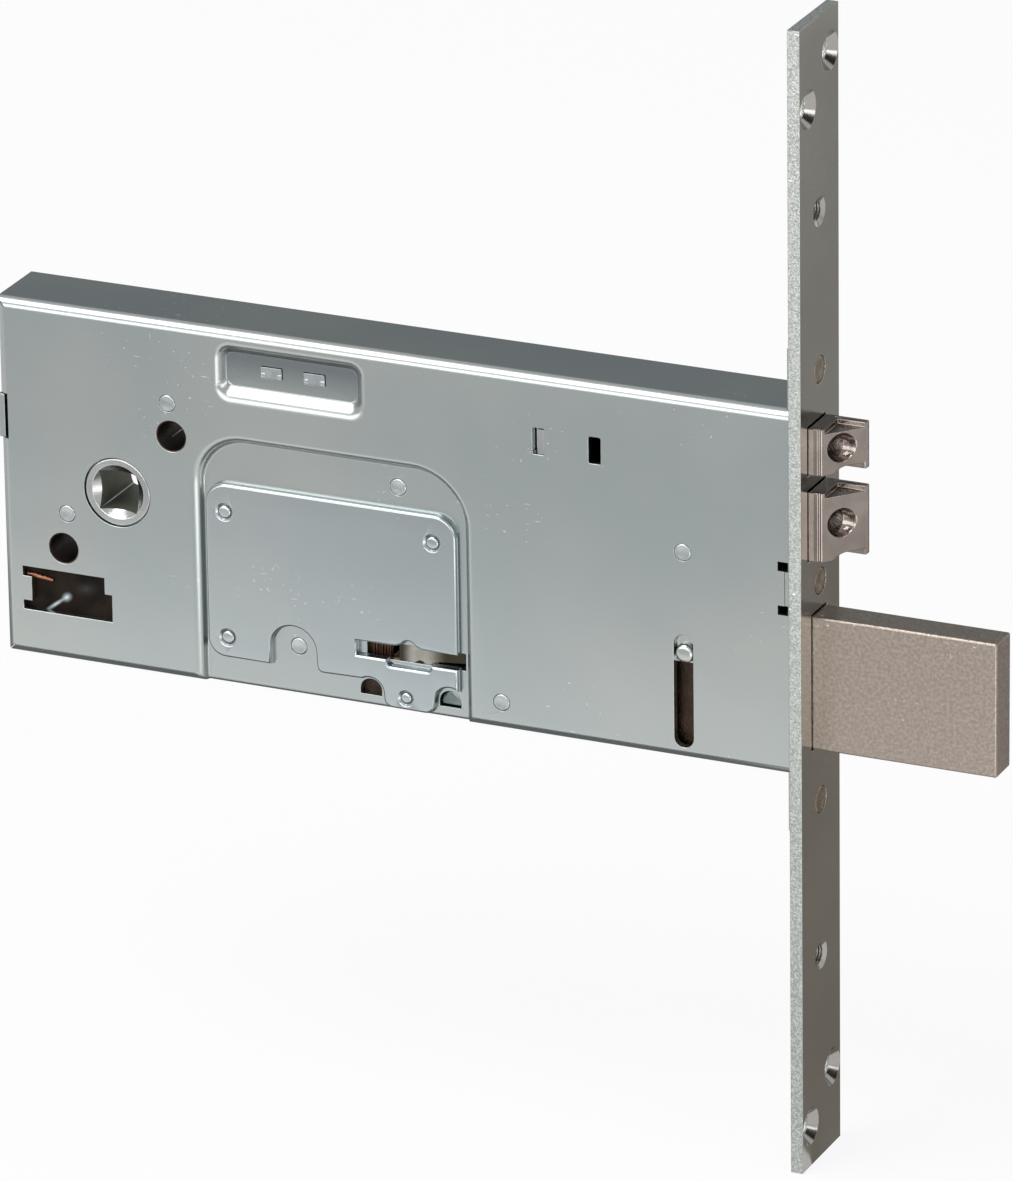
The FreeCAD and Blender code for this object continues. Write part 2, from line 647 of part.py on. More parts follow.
def hub_notch():
    """A wide notch in the drum's rim: the pawl's nose stays in it over the whole turn."""
    outer = HUB_BODY / 2 + 1
    inner = HUB_BODY / 2 - HUB_NOTCH_DEPTH
    first = math.radians(PAWL_ANGLE - HUB_TURN - HUB_NOTCH_SPARE)
    last = math.radians(PAWL_ANGLE + HUB_NOTCH_SPARE)
    steps = 6
    points = []
    for radius, order in ((outer + 2, range(steps + 1)), (inner, range(steps, -1, -1))):
        for step in order:
            angle = first + (last - first) * step / steps
            points.append((HUB_X + radius * math.cos(angle), radius * math.sin(angle)))
    return polygon_y(points, PAWL_Y - 0.4, PAWL_Y + PAWL_THICK + 0.4)


def draw_bar():
    y0 = BAR_Y
    y1 = BAR_Y + BAR_THICK
    rear = HUB_X - HUB_ARM_WIDTH / 2 - HOOK_GAP
    front = BAR_FRONT_X
    top = BAR_BOTTOM + BAR_HEIGHT
    bar = rounded_y(rear - HOOK_WIDTH, front, BAR_BOTTOM, top, (1, 1, 0, 0), y0, y1)
    rear_hook = box(rear - HOOK_WIDTH, rear, y0, y1, HUB_BODY / 2 + 0.5, BAR_BOTTOM)
    front_hook = box(front - HOOK_WIDTH + 0.4, front, y0, y1, LOWER_LATCH_BOTTOM + 4.0, BAR_BOTTOM)
    return fuse(bar, rear_hook, front_hook)


def bar_guide():
    """Block staked through the pressed pad; the draw bar slides between its two lips."""
    rear = -TENONS[0][0] - TENON_W
    front = -TENONS[1][0] + TENON_W
    lip = BAR_LIP
    gap = BAR_GAP
    top = BAR_BOTTOM + BAR_HEIGHT
    base = box(rear, front, RECESS_IN, BAR_Y - gap, BAR_BOTTOM - gap - lip, top + gap + lip)
    upper = box(rear, front, BAR_Y - gap, BAR_Y + BAR_THICK, top + gap, top + gap + lip)
    lower = box(rear, front, BAR_Y - gap, BAR_Y + BAR_THICK, BAR_BOTTOM - gap - lip, BAR_BOTTOM - gap)
    tenons = []
    half_w = TENON_W / 2
    half_h = TENON_H / 2
    for x, z in TENONS:
        tenons.append(box(-x - half_w, -x + half_w, RECESS_OUT - 0.2, RECESS_IN, z - half_h, z + half_h))
    return fuse(base, upper, lower, *tenons)


def bar_rest():
    """Notched wall that carries the bar's front end; its tenon shows in the case's small slot."""
    x, z = SMALL_SLOTS[0]
    x0 = -x - REST_THICK / 2
    x1 = -x + REST_THICK / 2
    top = BAR_BOTTOM + BAR_HEIGHT
    wall = box(x0, x1, SIDE_IN, COVER_IN, BAR_BOTTOM - BAR_GAP - BAR_LIP, top + BAR_GAP + BAR_LIP)
    notch = box(x0 - 1, x1 + 1, BAR_Y - BAR_GAP, COVER_IN + 1, BAR_BOTTOM - BAR_GAP, top + BAR_GAP)
    half = SMALL_SLOT_H / 2 - 0.2
    tenon = box(x0, x1, SIDE + 0.2, SIDE_IN, z - half, z + half)
    return fuse(cut(wall, notch), tenon)


def draw_bar_spring():
    rear_hook = HUB_X - HUB_ARM_WIDTH / 2 - HOOK_GAP - HOOK_WIDTH
    return spring_x(BAR_Y + BAR_THICK / 2, BAR_SPRING_Z, BAR_SPRING_RADIUS, BAR_SPRING_WIRE, BAR_SPRING_TURNS,
                    WALL_BACK, rear_hook)


def latch_head(bottom, height):
    """One bevelled head: straight plate on the +Y side, wedge on the -Y side with a bowl."""
    y0 = LATCH_SIDE
    y1 = LATCH_SIDE + LATCH_WIDTH
    tip = LATCH_REACH
    outline = [
        V(LATCH_BACK, y0, bottom), V(LATCH_ROOT, y0, bottom), V(tip - 0.5, y1 - LATCH_PLATE, bottom),
        V(tip, y1 - LATCH_PLATE + 0.6, bottom), V(tip, y1 - 0.4, bottom), V(tip - 0.4, y1, bottom),
        V(LATCH_BACK, y1, bottom), V(LATCH_BACK, y0, bottom),
    ]
    head = Part.Face(Part.makePolygon(outline)).extrude(V(0, 0, height))
    slope = V(tip - 0.5 - LATCH_ROOT, LATCH_WIDTH - LATCH_PLATE, 0)
    normal = V(slope.y, -slope.x, 0)
    normal.normalize()
    middle = V(LATCH_ROOT, y0, bottom + height / 2) + slope * 0.53
    bowl = Part.makeCylinder(DIMPLE / 2, 3.0, middle - normal * (DIMPLE_DEPTH - 1.0), normal)
    ball = Part.makeSphere(DIMPLE / 2 + 0.4, middle - normal * (DIMPLE_DEPTH - DIMPLE / 2 - 0.4))
    keep = Part.makeCylinder(DIMPLE / 2, 6.0, middle - normal * (DIMPLE_DEPTH + 1.0), normal)
    channel_x0 = LATCH_ROOT + 1.7
    channel_x1 = tip - 1.0
    channel_y1 = y1 - LATCH_PLATE
    top = bottom + height
    top_cut = box(channel_x0, channel_x1, y0 - 1, channel_y1, top - LATCH_CUT_TOP, top + 1)
    low_cut = box(channel_x0, channel_x1, y0 - 1, channel_y1, bottom - 1, bottom + LATCH_CUT_BOTTOM)
    step = box(LATCH_ROOT - 0.5, LATCH_ROOT, y0 - 1, y0 + 0.35, bottom - 1, bottom + height + 1)
    return cut(head, fuse(bowl, ball.common(keep)), top_cut, low_cut, step)


def latch_stem(bottom, height, rear):
    """Round stem screwed into a head; it runs through the inner guide wall."""
    z = bottom + height / 2
    return rod_x(LATCH_Y, z, STEM / 2, rear, LATCH_BACK)


def main_latch_stem():
    z = LOWER_LATCH_BOTTOM + LOWER_LATCH_HEIGHT / 2
    stop = BAR_FRONT_X - HOOK_WIDTH - HOOK_GAP
    stem = latch_stem(LOWER_LATCH_BOTTOM, LOWER_LATCH_HEIGHT, stop - COLLAR_THICK)
    collar = rod_x(LATCH_Y, z, COLLAR / 2, stop - COLLAR_THICK, stop)
    return fuse(stem, collar)


def loading_latch_stem():
    return latch_stem(UPPER_LATCH_BOTTOM, UPPER_LATCH_HEIGHT, BAR_FRONT_X + 1.0)


def latch_guide():
    """Inner wall that carries both stems and backs their springs."""
    x0 = -GUIDE_X - GUIDE_THICK
    wall = box(x0, -GUIDE_X, SIDE_IN + 1.65, COVER_IN, LOWER_LATCH_BOTTOM + 2.0, WALL_TOP)
    holes = []
    for bottom, height in ((LOWER_LATCH_BOTTOM, LOWER_LATCH_HEIGHT), (UPPER_LATCH_BOTTOM, UPPER_LATCH_HEIGHT)):
        holes.append(rod_x(LATCH_Y, bottom + height / 2, STEM / 2 + 0.1, x0 - 1, -GUIDE_X + 1))
    return cut(wall, *holes)


def latch_spring(bottom, height):
    return spring_x(LATCH_Y, bottom + height / 2, LATCH_SPRING_RADIUS, LATCH_SPRING_WIRE, LATCH_SPRING_TURNS,
                    -GUIDE_X, LATCH_BACK)


def deadbolt_head():
    y0 = BOLT_SIDE
    y1 = BOLT_SIDE + BOLT_THICK
    z0 = BOLT_TOP - BOLT_HEIGHT
    head = box(-BOLT_INSIDE, BOLT_REACH, y0, y1, z0, BOLT_TOP)
    end = [edge for edge in head.Edges if edge.BoundBox.XMin > BOLT_REACH - 0.01]
    head = head.makeFillet(BOLT_EDGE, end)
    rebate = box(-BOLT_INSIDE - 1, -BOLT_INSIDE + TAIL_LAP, y0 - 1, y0 + TAIL_THICK, z0 - 1, BOLT_TOP + 1)
    holes = [rod_y(x, z, TAIL_RIVET / 2, y0 - 1, y1 + 1) for x, z in tail_rivet_places()]
    return cut(head, rebate, *holes)


def tail_rivet_places():
    x = -BOLT_INSIDE + TAIL_LAP - 3.5
    return [(x, BOLT_TOP - 3.0), (x, BOLT_TOP - 9.0)]


def drive_slot(y0, y1, width):
    return slot_y(-DRIVE_X, DRIVE_Z, -DRIVE_X + BOLT_THROW, DRIVE_Z - SLIDER_TRAVEL, width, y0, y1)


def deadbolt_tail():
    """Flat tail with talon notches for the key bits and the slanted slot of the slider."""
    y0 = BOLT_SIDE
    y1 = BOLT_SIDE + TAIL_THICK
    front = -BOLT_INSIDE + TAIL_LAP
    outline = [
        (-TAIL_REAR, TAIL_BOTTOM), (-TAIL_STEP, TAIL_BOTTOM), (-TAIL_STEP + 3, TAIL_FRONT_BOTTOM),
        (front, TAIL_FRONT_BOTTOM), (front, BOLT_TOP - 1.0), (front - 4, TAIL_TOP), (-TAIL_REAR, TAIL_TOP),
    ]
    tail = polygon_y(outline, y0, y1)
    tools = [drive_slot(y0 - 1, y1 + 1, PIN + 0.3)]
    first = -KEY_BACKSET - TALON_PITCH / 2
    half = TALON_WIDTH / 2
    talon_top = TAIL_BOTTOM + TALON_DEPTH
    for index in range(TALONS):
        x = first + index * TALON_PITCH
        talon = rounded_y(x - half, x + half, TAIL_BOTTOM - 1, talon_top, (1.0, 1.0, 0, 0), y0 - 1, y1 + 1)
        tools.append(talon)
    for x, z in tail_rivet_places():
        tools.append(rod_y(x, z, TAIL_RIVET / 2, y0 - 1, y1 + 1))
    tools.append(rod_y(-STUMP_X, STUMP_Z, STUMP / 2 - 0.5, y0 - 1, y1 + 1))
    return cut(tail, *tools)


def deadbolt_stump():
    """Post that the levers' gates pass over; its thin end is riveted into the tail."""
    tail_back = BOLT_SIDE + TAIL_THICK
    end = LEVER_Y + LEVERS * (LEVER_THICK + LEVER_GAP) + 0.4
    thin = rod_y(-STUMP_X, STUMP_Z, STUMP / 2 - 0.5, BOLT_SIDE, tail_back)
    return fuse(thin, rod_y(-STUMP_X, STUMP_Z, STUMP / 2, tail_back, end))


def deadbolt_rivets():
    return Part.makeCompound([rod_y(x, z, TAIL_RIVET / 2, BOLT_SIDE, BOLT_SIDE + BOLT_THICK)
                              for x, z in tail_rivet_places()])


def slider_plane():
    return SIDE_IN + 0.15, SIDE_IN + 0.15 + SLIDER_THICK


def rod_slider():
    """Vertical slider: forked top on the case rivet, visible pin below, arm to the slanted slot."""
    y0, y1 = slider_plane()
    half = SLIDER_WIDTH / 2
    body = box(-SLOT_X - half, -SLOT_X + half, y0, y1, PIN_Z - SLIDER_FOOT, SLIDER_TOP)
    arm = box(-DRIVE_X - PIN / 2 - 1.8, -SLOT_X, y0, y1, DRIVE_Z - ARM_HEIGHT / 2, DRIVE_Z + ARM_HEIGHT / 2)
    guide_z = CASE_RIVETS[-1][1]
    fork = slot_y(-SLOT_X, guide_z - 0.2, -SLOT_X, SLIDER_TOP + 5, SMALL_RIVET + 0.4, y0 - 1, y1 + 1)
    holes = [rod_y(-SLOT_X, PIN_Z, PIN / 2, y0 - 1, y1 + 1), rod_y(-DRIVE_X, DRIVE_Z, PIN / 2, y0 - 1, y1 + 1)]
    return cut(fuse(body, arm), fork, *holes)


def slider_pins():
    y0, y1 = slider_plane()
    seen = rod_y(-SLOT_X, PIN_Z, PIN / 2, SIDE + 0.1, y1)
    drive = rod_y(-DRIVE_X, DRIVE_Z, PIN / 2, y0, BOLT_SIDE + TAIL_THICK - 0.3)
    return Part.makeCompound([seen, drive])


def key_rotor():
    """Key guide drum that turns in both sheets, with a slot and a bore for the key."""
    x = -KEY_BACKSET
    journal = ROTOR_JOURNAL / 2 - ROTOR_FIT
    gap = 0.2
    body = rod_y(x, KEY_Z, ROTOR_BODY / 2, RECESS_IN + gap, COVER_IN - gap)
    front = rod_y(x, KEY_Z, journal, RECESS_OUT + gap, RECESS_IN + gap)
    rear = rod_y(x, KEY_Z, journal, COVER_IN - gap, COVER_OUT - gap)
    half = ROTOR_SLOT / 2
    slot = box(x - ROTOR_BODY, x + ROTOR_BODY / 2 - 2.0, SIDE, COVER_OUT + 1, KEY_Z - half, KEY_Z + half)
    bore = rod_y(x, KEY_Z, ROTOR_BORE / 2, SIDE, COVER_OUT + 1)
    return cut(fuse(body, front, rear), slot, bore)


def tumbler_lever(index):
    """Stamped lever: pivot hole, belly over the key, gate window, spring finger."""
    y0 = LEVER_Y + index * (LEVER_THICK + LEVER_GAP)
    y1 = y0 + LEVER_THICK
    rear = -PIVOT_X - 4.6
    window_front = -STUMP_X + STUMP / 2 + WINDOW_FRONT_GAP
    front = window_front + 2.2
    key_x = -KEY_BACKSET
    belly = KEY_REACH + LEVER_CLEAR
    outline = [
        (rear, PIVOT_Z - 4.2), (-PIVOT_X + 6.0, PIVOT_Z - 4.2), (front, PIVOT_Z - 4.2 + index),
        (front, LEVER_TOP), (rear + 6.0, LEVER_TOP), (rear, LEVER_TOP - 6.0),
    ]
    plate = polygon_y(outline, y0, y1)
    under = BAR_BOTTOM - BAR_GAP - BAR_LIP - 0.7
    root = LEVER_TOP - 0.5
    bend = [(rear + 6.0, root), (rear + 7.2, root), (rear + 12.6, under - 0.6), (rear + 11.8, under)]
    finger = polygon_y(bend, y0 + 0.1, y1 - 0.1)
    plate = fuse(plate, finger)
    key_space = rod_y(key_x, KEY_Z, belly, y0 - 1, y1 + 1)
    below = box(key_x - belly, front + 1, y0 - 1, y1 + 1, PIVOT_Z - 8, KEY_Z)
    window_rear = -STUMP_X - BOLT_THROW - STUMP / 2 - 0.6
    window = rounded_y(window_rear, window_front, STUMP_Z - WINDOW_HALF, STUMP_Z + WINDOW_HALF,
                       (0.6, 0.6, 0.6, 0.6), y0 - 1, y1 + 1)
    pivot = rod_y(-PIVOT_X, PIVOT_Z, SMALL_RIVET / 2 + 0.05, y0 - 1, y1 + 1)
    return cut(plate, key_space, below, window, pivot)


def lever_pivot():
    return rivet_y(-PIVOT_X, PIVOT_Z, SMALL_RIVET / 2, RECESS_OUT, COVER_OUT, 0.2)


def coil_bobbin():
    flange = COIL_OUTER / 2
    rear = -COIL_REAR
    front = -COIL_FRONT
    tube = rod_x(0, COIL_Z, BOBBIN_TUBE / 2, rear, front)
    rear_flange = rod_x(0, COIL_Z, flange, rear, rear + BOBBIN_FLANGE)
    front_flange = rod_x(0, COIL_Z, flange, front - BOBBIN_FLANGE, front)
    bore = rod_x(0, COIL_Z, PLUNGER / 2 + PLUNGER_FIT, rear - 1, front + 1)
    return cut(fuse(tube, rear_flange, front_flange), bore)


def coil_winding():
    rear = -COIL_REAR + BOBBIN_FLANGE
    front = -COIL_FRONT - BOBBIN_FLANGE
    ring = rod_x(0, COIL_Z, COIL_OUTER / 2 - 0.5, rear, front)
    return cut(ring, rod_x(0, COIL_Z, BOBBIN_TUBE / 2, rear - 1, front + 1))


def magnet_yoke():
    rear = -COIL_REAR
    front = -COIL_FRONT
    half = COIL_OUTER / 2 - 0.1
    top = COIL_Z + COIL_OUTER / 2
    strip = box(rear - YOKE, front + YOKE, -half, half, WALL_BOTTOM, WALL_BOTTOM + YOKE)
    rear_wall = box(rear - YOKE, rear, -half, half, WALL_BOTTOM, top)
    front_wall = box(front, front + YOKE, -half, half, WALL_BOTTOM, top)
    hole = rod_x(0, COIL_Z, PLUNGER / 2 + PLUNGER_FIT, front - 1, front + YOKE + 1)
    return cut(fuse(strip, rear_wall, front_wall), hole)


def plunger():
    front = -COIL_FRONT + YOKE + PLUNGER_SPRING
    end = -PAWL_X + 2.2
    rod = rod_x(0, COIL_Z, PLUNGER / 2, -COIL_REAR + 6.0, end)
    collar = rod_x(0, COIL_Z, PLUNGER_COLLAR / 2, front, front + 1.0)
    cross = rod_y(-PAWL_X, COIL_Z, 1.0, 0, PAWL_Y + PAWL_THICK + 0.3)
    return fuse(rod, collar, cross)


def plunger_spring():
    front = -COIL_FRONT + YOKE
    return spring_x(0, COIL_Z, 2.7, 0.4, 2.5, front, front + PLUNGER_SPRING)


def pawl_nose():
    angle = math.radians(PAWL_ANGLE)
    radius = HUB_BODY / 2 + PAWL_REST_GAP
    return HUB_X + radius * math.cos(angle), radius * math.sin(angle)


def locking_pawl():
    """Two-armed pawl: the plunger moves its lower arm, its nose goes to the follower's rim."""
    y0 = PAWL_Y
    y1 = PAWL_Y + PAWL_THICK
    nose_x, nose_z = pawl_nose()
    hub = rod_y(-PAWL_X, PAWL_Z, PAWL_HUB / 2, y0, y1)
    half = PAWL_ARM_WIDTH / 2
    down = box(-PAWL_X - half, -PAWL_X + half, y0, y1, COIL_Z - half, PAWL_Z)
    out = [(-PAWL_X - 1.0, PAWL_Z + 2.6), (-PAWL_X - 1.0, PAWL_Z - 4.0), (nose_x + 2.0, nose_z - 5.0),
           (nose_x - 0.8, nose_z - 2.2), (nose_x - 0.8, nose_z), (nose_x + 0.8, nose_z + 0.3),
           (nose_x + 3.2, nose_z - 1.8)]
    body = fuse(hub, down, polygon_y(out, y0, y1))
    pivot = rod_y(-PAWL_X, PAWL_Z, PAWL_PIN / 2 + 0.05, y0 - 1, y1 + 1)
    slot = slot_y(-PAWL_X, COIL_Z - 3.5, -PAWL_X, COIL_Z + 0.8, 2.3, y0 - 1, y1 + 1)
    return cut(body, pivot, slot)


def pawl_post():
    post = rod_y(-PAWL_X, PAWL_Z, PAWL_PIN / 2, PAWL_Y - 0.4, COVER_IN)
    foot = rod_y(-PAWL_X, PAWL_Z, SMALL_RIVET / 2, PAWL_Y + PAWL_THICK + 0.2, COVER_OUT)
    return fuse(post, foot)


def terminal_block():
    half = COVER_IN - 0.4
    body = box(-TERMINAL_REAR, -TERMINAL_FRONT, -half + 2.0, half, WALL_BOTTOM, TERMINAL_TOP)
    tools = []
    middle = -(TERMINAL_REAR + TERMINAL_FRONT) / 2
    for z in terminal_places():
        tools.append(rod_y(middle, z, TERMINAL_SCREW / 2, -half, 0))
    return cut(body, *tools)


def terminal_places():
    height = TERMINAL_TOP - WALL_BOTTOM
    return (WALL_BOTTOM + height * 0.28, WALL_BOTTOM + height * 0.72)


def terminal_screws():
    half = COVER_IN - 0.4
    middle = -(TERMINAL_REAR + TERMINAL_FRONT) / 2
    screws = []
    for z in terminal_places():
        screw = rod_y(middle, z, TERMINAL_SCREW / 2, -half + 2.6, 0)
        groove = box(middle - 2, middle + 2, -half + 2, -half + 3.2, z - 0.25, z + 0.25)
        screws.append(cut(screw, groove))
    return Part.makeCompound(screws)


PARTS = {
    "faceplate": faceplate,
    "faceplate_rivets": faceplate_rivets,
    "front_bracket": front_bracket,
    "case_shell": case_shell,
    "back_cover": back_cover,
    "hardened_plate": hardened_plate,
    "plate_rivets": plate_rivets,
    "case_rivets": case_rivets,
    "screw_sleeves": screw_sleeves,
    "follower": follower,
    "draw_bar": draw_bar,
    "draw_bar_spring": draw_bar_spring,
    "bar_guide": bar_guide,
    "bar_rest": bar_rest,
    "main_latch_head": lambda: latch_head(LOWER_LATCH_BOTTOM, LOWER_LATCH_HEIGHT),
    "main_latch_stem": main_latch_stem,
    "main_latch_spring": lambda: latch_spring(LOWER_LATCH_BOTTOM, LOWER_LATCH_HEIGHT),
    "loading_latch_head": lambda: latch_head(UPPER_LATCH_BOTTOM, UPPER_LATCH_HEIGHT),
    "loading_latch_stem": loading_latch_stem,
    "loading_latch_spring": lambda: latch_spring(UPPER_LATCH_BOTTOM, UPPER_LATCH_HEIGHT),
    "latch_guide": latch_guide,
    "deadbolt_head": deadbolt_head,
    "deadbolt_tail": deadbolt_tail,
    "deadbolt_stump": deadbolt_stump,
    "deadbolt_rivets": deadbolt_rivets,
    "rod_slider": rod_slider,
    "slider_pins": slider_pins,
    "key_rotor": key_rotor,
    "lever_pivot": lever_pivot,
    "coil_bobbin": coil_bobbin,
    "coil_winding": coil_winding,
    "magnet_yoke": magnet_yoke,
    "plunger": plunger,
    "plunger_spring": plunger_spring,
    "locking_pawl": locking_pawl,
    "pawl_post": pawl_post,
    "terminal_block": terminal_block,
    "terminal_screws": terminal_screws,
}

os.makedirs("parts", exist_ok=True)
for number in range(LEVERS):
    PARTS["tumbler_lever_%d" % (number + 1)] = lambda number=number: tumbler_lever(number)
for name, make in PARTS.items():
    shape = make()
    if not shape.isValid():
        print("not valid:", name)
    shape.exportStep("parts/%s.step" % name)
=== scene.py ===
import math

import bpy
import bmesh
from mathutils import Matrix, Vector
from mathutils.geometry import delaunay_2d_cdt


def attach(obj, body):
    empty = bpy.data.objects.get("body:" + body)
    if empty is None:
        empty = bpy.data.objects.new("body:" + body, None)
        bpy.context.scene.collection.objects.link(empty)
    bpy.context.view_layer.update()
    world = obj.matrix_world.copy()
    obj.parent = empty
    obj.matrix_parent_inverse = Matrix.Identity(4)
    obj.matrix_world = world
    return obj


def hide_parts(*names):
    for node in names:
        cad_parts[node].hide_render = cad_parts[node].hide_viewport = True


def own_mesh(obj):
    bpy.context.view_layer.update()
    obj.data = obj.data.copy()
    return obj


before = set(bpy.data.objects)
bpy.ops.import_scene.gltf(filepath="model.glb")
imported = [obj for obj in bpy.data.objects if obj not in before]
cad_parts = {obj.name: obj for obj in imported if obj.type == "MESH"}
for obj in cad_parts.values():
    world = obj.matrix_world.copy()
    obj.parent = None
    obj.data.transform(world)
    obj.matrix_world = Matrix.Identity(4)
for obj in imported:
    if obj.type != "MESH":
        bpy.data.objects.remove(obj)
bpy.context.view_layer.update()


# Case sheet: 1.5 mm zinc-plated steel. The front face and its top, rear and bottom flanges are
# one sheet, bent with a 2 mm radius and left open at the corners; the arch for the
# drill-protection plate and the small oblong pad are pressed 2 mm in.

# millimetres: x along the bolt, y through the lock, z up; only the studio has metres
FACE_Y = -7.75
SHEET = 1.5
REAR_X, FRONT_X = -169.5, -2.5
HALF_HEIGHT = 37.0
BEND = 2.0
PRESS = 2.0
FLOOR_Y = FACE_Y + PRESS


def on_sheet(u, v, w):
    """A point of the lock's broad side: u along x, v up, w inwards from the face."""
    return (u, FACE_Y + w, v)


def arc(cx, cz, radius, start, stop, steps):
    """Points of an arc, angles in degrees, counter-clockwise when stop is above start."""
    points = []
    for step in range(steps + 1):
        angle = math.radians(start + (stop - start) * step / steps)
        points.append((cx + radius * math.cos(angle), cz + radius * math.sin(angle)))
    return points


def circle(cx, cz, radius, steps=40):
    return arc(cx, cz, radius, 0, 360, steps)[:-1]


def rounded(x0, x1, z0, z1, radii, steps=6):
    """A counter-clockwise rectangle; radii: one, or bottom-left, bottom-right, top-right, top-left."""
    bl, br, tr, tl = radii if isinstance(radii, tuple) else (radii,) * 4
    loop = arc(x0 + bl, z0 + bl, bl, 180, 270, steps)
    loop += arc(x1 - br, z0 + br, br, 270, 360, steps)
    loop += arc(x1 - tr, z1 - tr, tr, 0, 90, steps)
    loop += arc(x0 + tl, z1 - tl, tl, 90, 180, steps)
    return loop


def grown(loop, by, is_open=False):
    """The loop moved outwards by that much with mitred corners."""
    count = len(loop)
    out = []
    for i, point in enumerate(loop):
        here = Vector(point)
        before = Vector(loop[i - 1]) if i or not is_open else None
        after = Vector(loop[(i + 1) % count]) if i + 1 < count or not is_open else None
        sides = []
        for a, b in ((before, here), (here, after)):
            if a is not None and b is not None and (b - a).length > 1e-7:
                along = (b - a).normalized()
                sides.append(Vector((along.y, -along.x)))
        if len(sides) == 2:
            mitre = (sides[0] + sides[1]) / max(0.2, 1 + sides[0].dot(sides[1]))
        else:
            mitre = sides[0]
        out.append(tuple(here + mitre * by))
    return out


def rolled(radius, sign, top, steps):
    """Steps (grow, depth) of a rounded edge from the flat face down to the straight wall."""
    rows = []
    for step in range(steps + 1):
        angle = math.radians(90 * step / steps)
        rows.append((sign * radius * (1 - math.sin(angle)), top + radius * (1 - math.cos(angle))))
    return rows


def placed(name, data):
    """A new object in the scene, holding the data."""
    item = bpy.data.objects.new(name, data)
    bpy.context.collection.objects.link(item)
    return item


def clean(mesh, near, flatten=False):
    """Joins points nearer than near, turns the faces outwards and, if asked, joins flat neighbours."""
    work = bmesh.new()
    work.from_mesh(mesh)
    bmesh.ops.remove_doubles(work, verts=work.verts[:], dist=near)
    bmesh.ops.recalc_face_normals(work, faces=work.faces[:])
    if flatten:
        bmesh.ops.dissolve_limit(work, angle_limit=0.01, verts=work.verts[:], edges=work.edges[:])
    work.to_mesh(mesh)
    work.free()


class Skin:
    """Points and faces of a piece under construction; a flat point also keeps its place in the flat."""

    def __init__(self):
        self.points, self.faces, self.flat = [], [], []

    def add(self, point, flat=None):
        self.points.append(tuple(point))
        self.flat.append(flat)
        return len(self.points) - 1

    def ring(self, loop, at, depth):
        return [self.add(at(u, v, depth), (u, v)) for u, v in loop]

    def wall(self, first, second, closed=True):
        count = len(first)
        for i in range(count if closed else count - 1):
            j = (i + 1) % count
            self.faces.append((first[i], first[j], second[j], second[i]))

    def fill(self, rings):
        """Triangles between an outer ring and the rings of the openings in it."""
        index, edges = [], []
        for ring in rings:
            base = len(index)
            index += ring
            edges += [(base + i, base + (i + 1) % len(ring)) for i in range(len(ring))]
        places = [Vector(self.flat[i]) for i in index]
        made = delaunay_2d_cdt(places, edges, [], 0, 1e-5)
        origin = made[3]
        for face in made[2]:
            middle = sum((made[0][i] for i in face), Vector((0, 0))) / 3
            crossings = 0
            for a, b in edges:
                p, q = places[a], places[b]
                if (p.y > middle.y) != (q.y > middle.y):
                    if middle.x < p.x + (middle.y - p.y) * (q.x - p.x) / (q.y - p.y):
                        crossings += 1
            if crossings % 2:
                self.faces.append(tuple(index[origin[i][0]] for i in face))

    def tube(self, loop, at, steps):
        """Rings of one loop at (grow, depth) steps; returns the first and last ring."""
        rings = [self.ring(grown(loop, grow), at, depth) for grow, depth in steps]
        for first, second in zip(rings, rings[1:]):
            self.wall(first, second)
        return rings[0], rings[-1]

    def plate(self, at, loops):
        """A flat piece: every loop has its own edge steps, the first and last rings are filled."""
        ends = [self.tube(loop, at, steps) for loop, steps in loops]
        self.fill([first for first, last in ends])
        self.fill([last for first, last in ends])

    def lathe(self, centre, axis, profile, steps=40):
        """A turned part: profile points (radius, height) along the axis, closed at radius 0."""
        centre, axis = Vector(centre), Vector(axis).normalized()
        side = axis.orthogonal().normalized()
        other = axis.cross(side)
        rings = []
        for radius, height in profile:
            if radius < 1e-6:
                rings.append([self.add(centre + axis * height)])
                continue
            ring = []
            for step in range(steps):
                turn = 2 * math.pi * step / steps
                out = side * math.cos(turn) + other * math.sin(turn)
                ring.append(self.add(centre + axis * height + out * radius))
            rings.append(ring)
        for first, second in zip(rings, rings[1:]):
            if len(first) == 1 and len(second) == 1:
                continue
            if len(first) == 1 or len(second) == 1:
                tip, ring = (first, second) if len(first) == 1 else (second, first)
                for i in range(len(ring)):
                    self.faces.append((tip[0], ring[i], ring[(i + 1) % len(ring)]))
            else:
                self.wall(first, second)

    def block(self, low, high, edge=0.15):
        """A small box with chamfered edges."""
        start = len(self.points)
        work = bmesh.new()
        bmesh.ops.create_cube(work, size=1)
        size = Vector(high) - Vector(low)
        middle = (Vector(high) + Vector(low)) / 2
        for vert in work.verts:
            vert.co = middle + Vector(vert.co[i] * size[i] for i in range(3))
        if edge:
            bmesh.ops.bevel(work, geom=work.edges[:], offset=edge, segments=2, profile=0.5, affect="EDGES")
        work.verts.index_update()
        for vert in work.verts:
            self.add(vert.co)
        for face in work.faces:
            self.faces.append(tuple(start + v.index for v in face.verts))
        work.free()

    def make(self, name, material, body, slot, nodes=(), sharp=40, weighted=True):
        """The finished piece, in metres, riding on its body."""
        mesh = bpy.data.meshes.new(name)
        mesh.from_pydata([(x / 1000, y / 1000, z / 1000) for x, y, z in self.points], [], self.faces)
        clean(mesh, 1e-6)
        piece = placed(name, mesh)
        for face in mesh.polygons:
            face.use_smooth = True
        mesh.set_sharp_from_angle(angle=math.radians(sharp))
        if weighted:
            weights = piece.modifiers.new("even_shading", "WEIGHTED_NORMAL")
            weights.keep_sharp = True
            weights.weight = 80
        mesh.materials.append(material)
        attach(piece, body)
        if nodes:
            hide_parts(*nodes)
        return piece


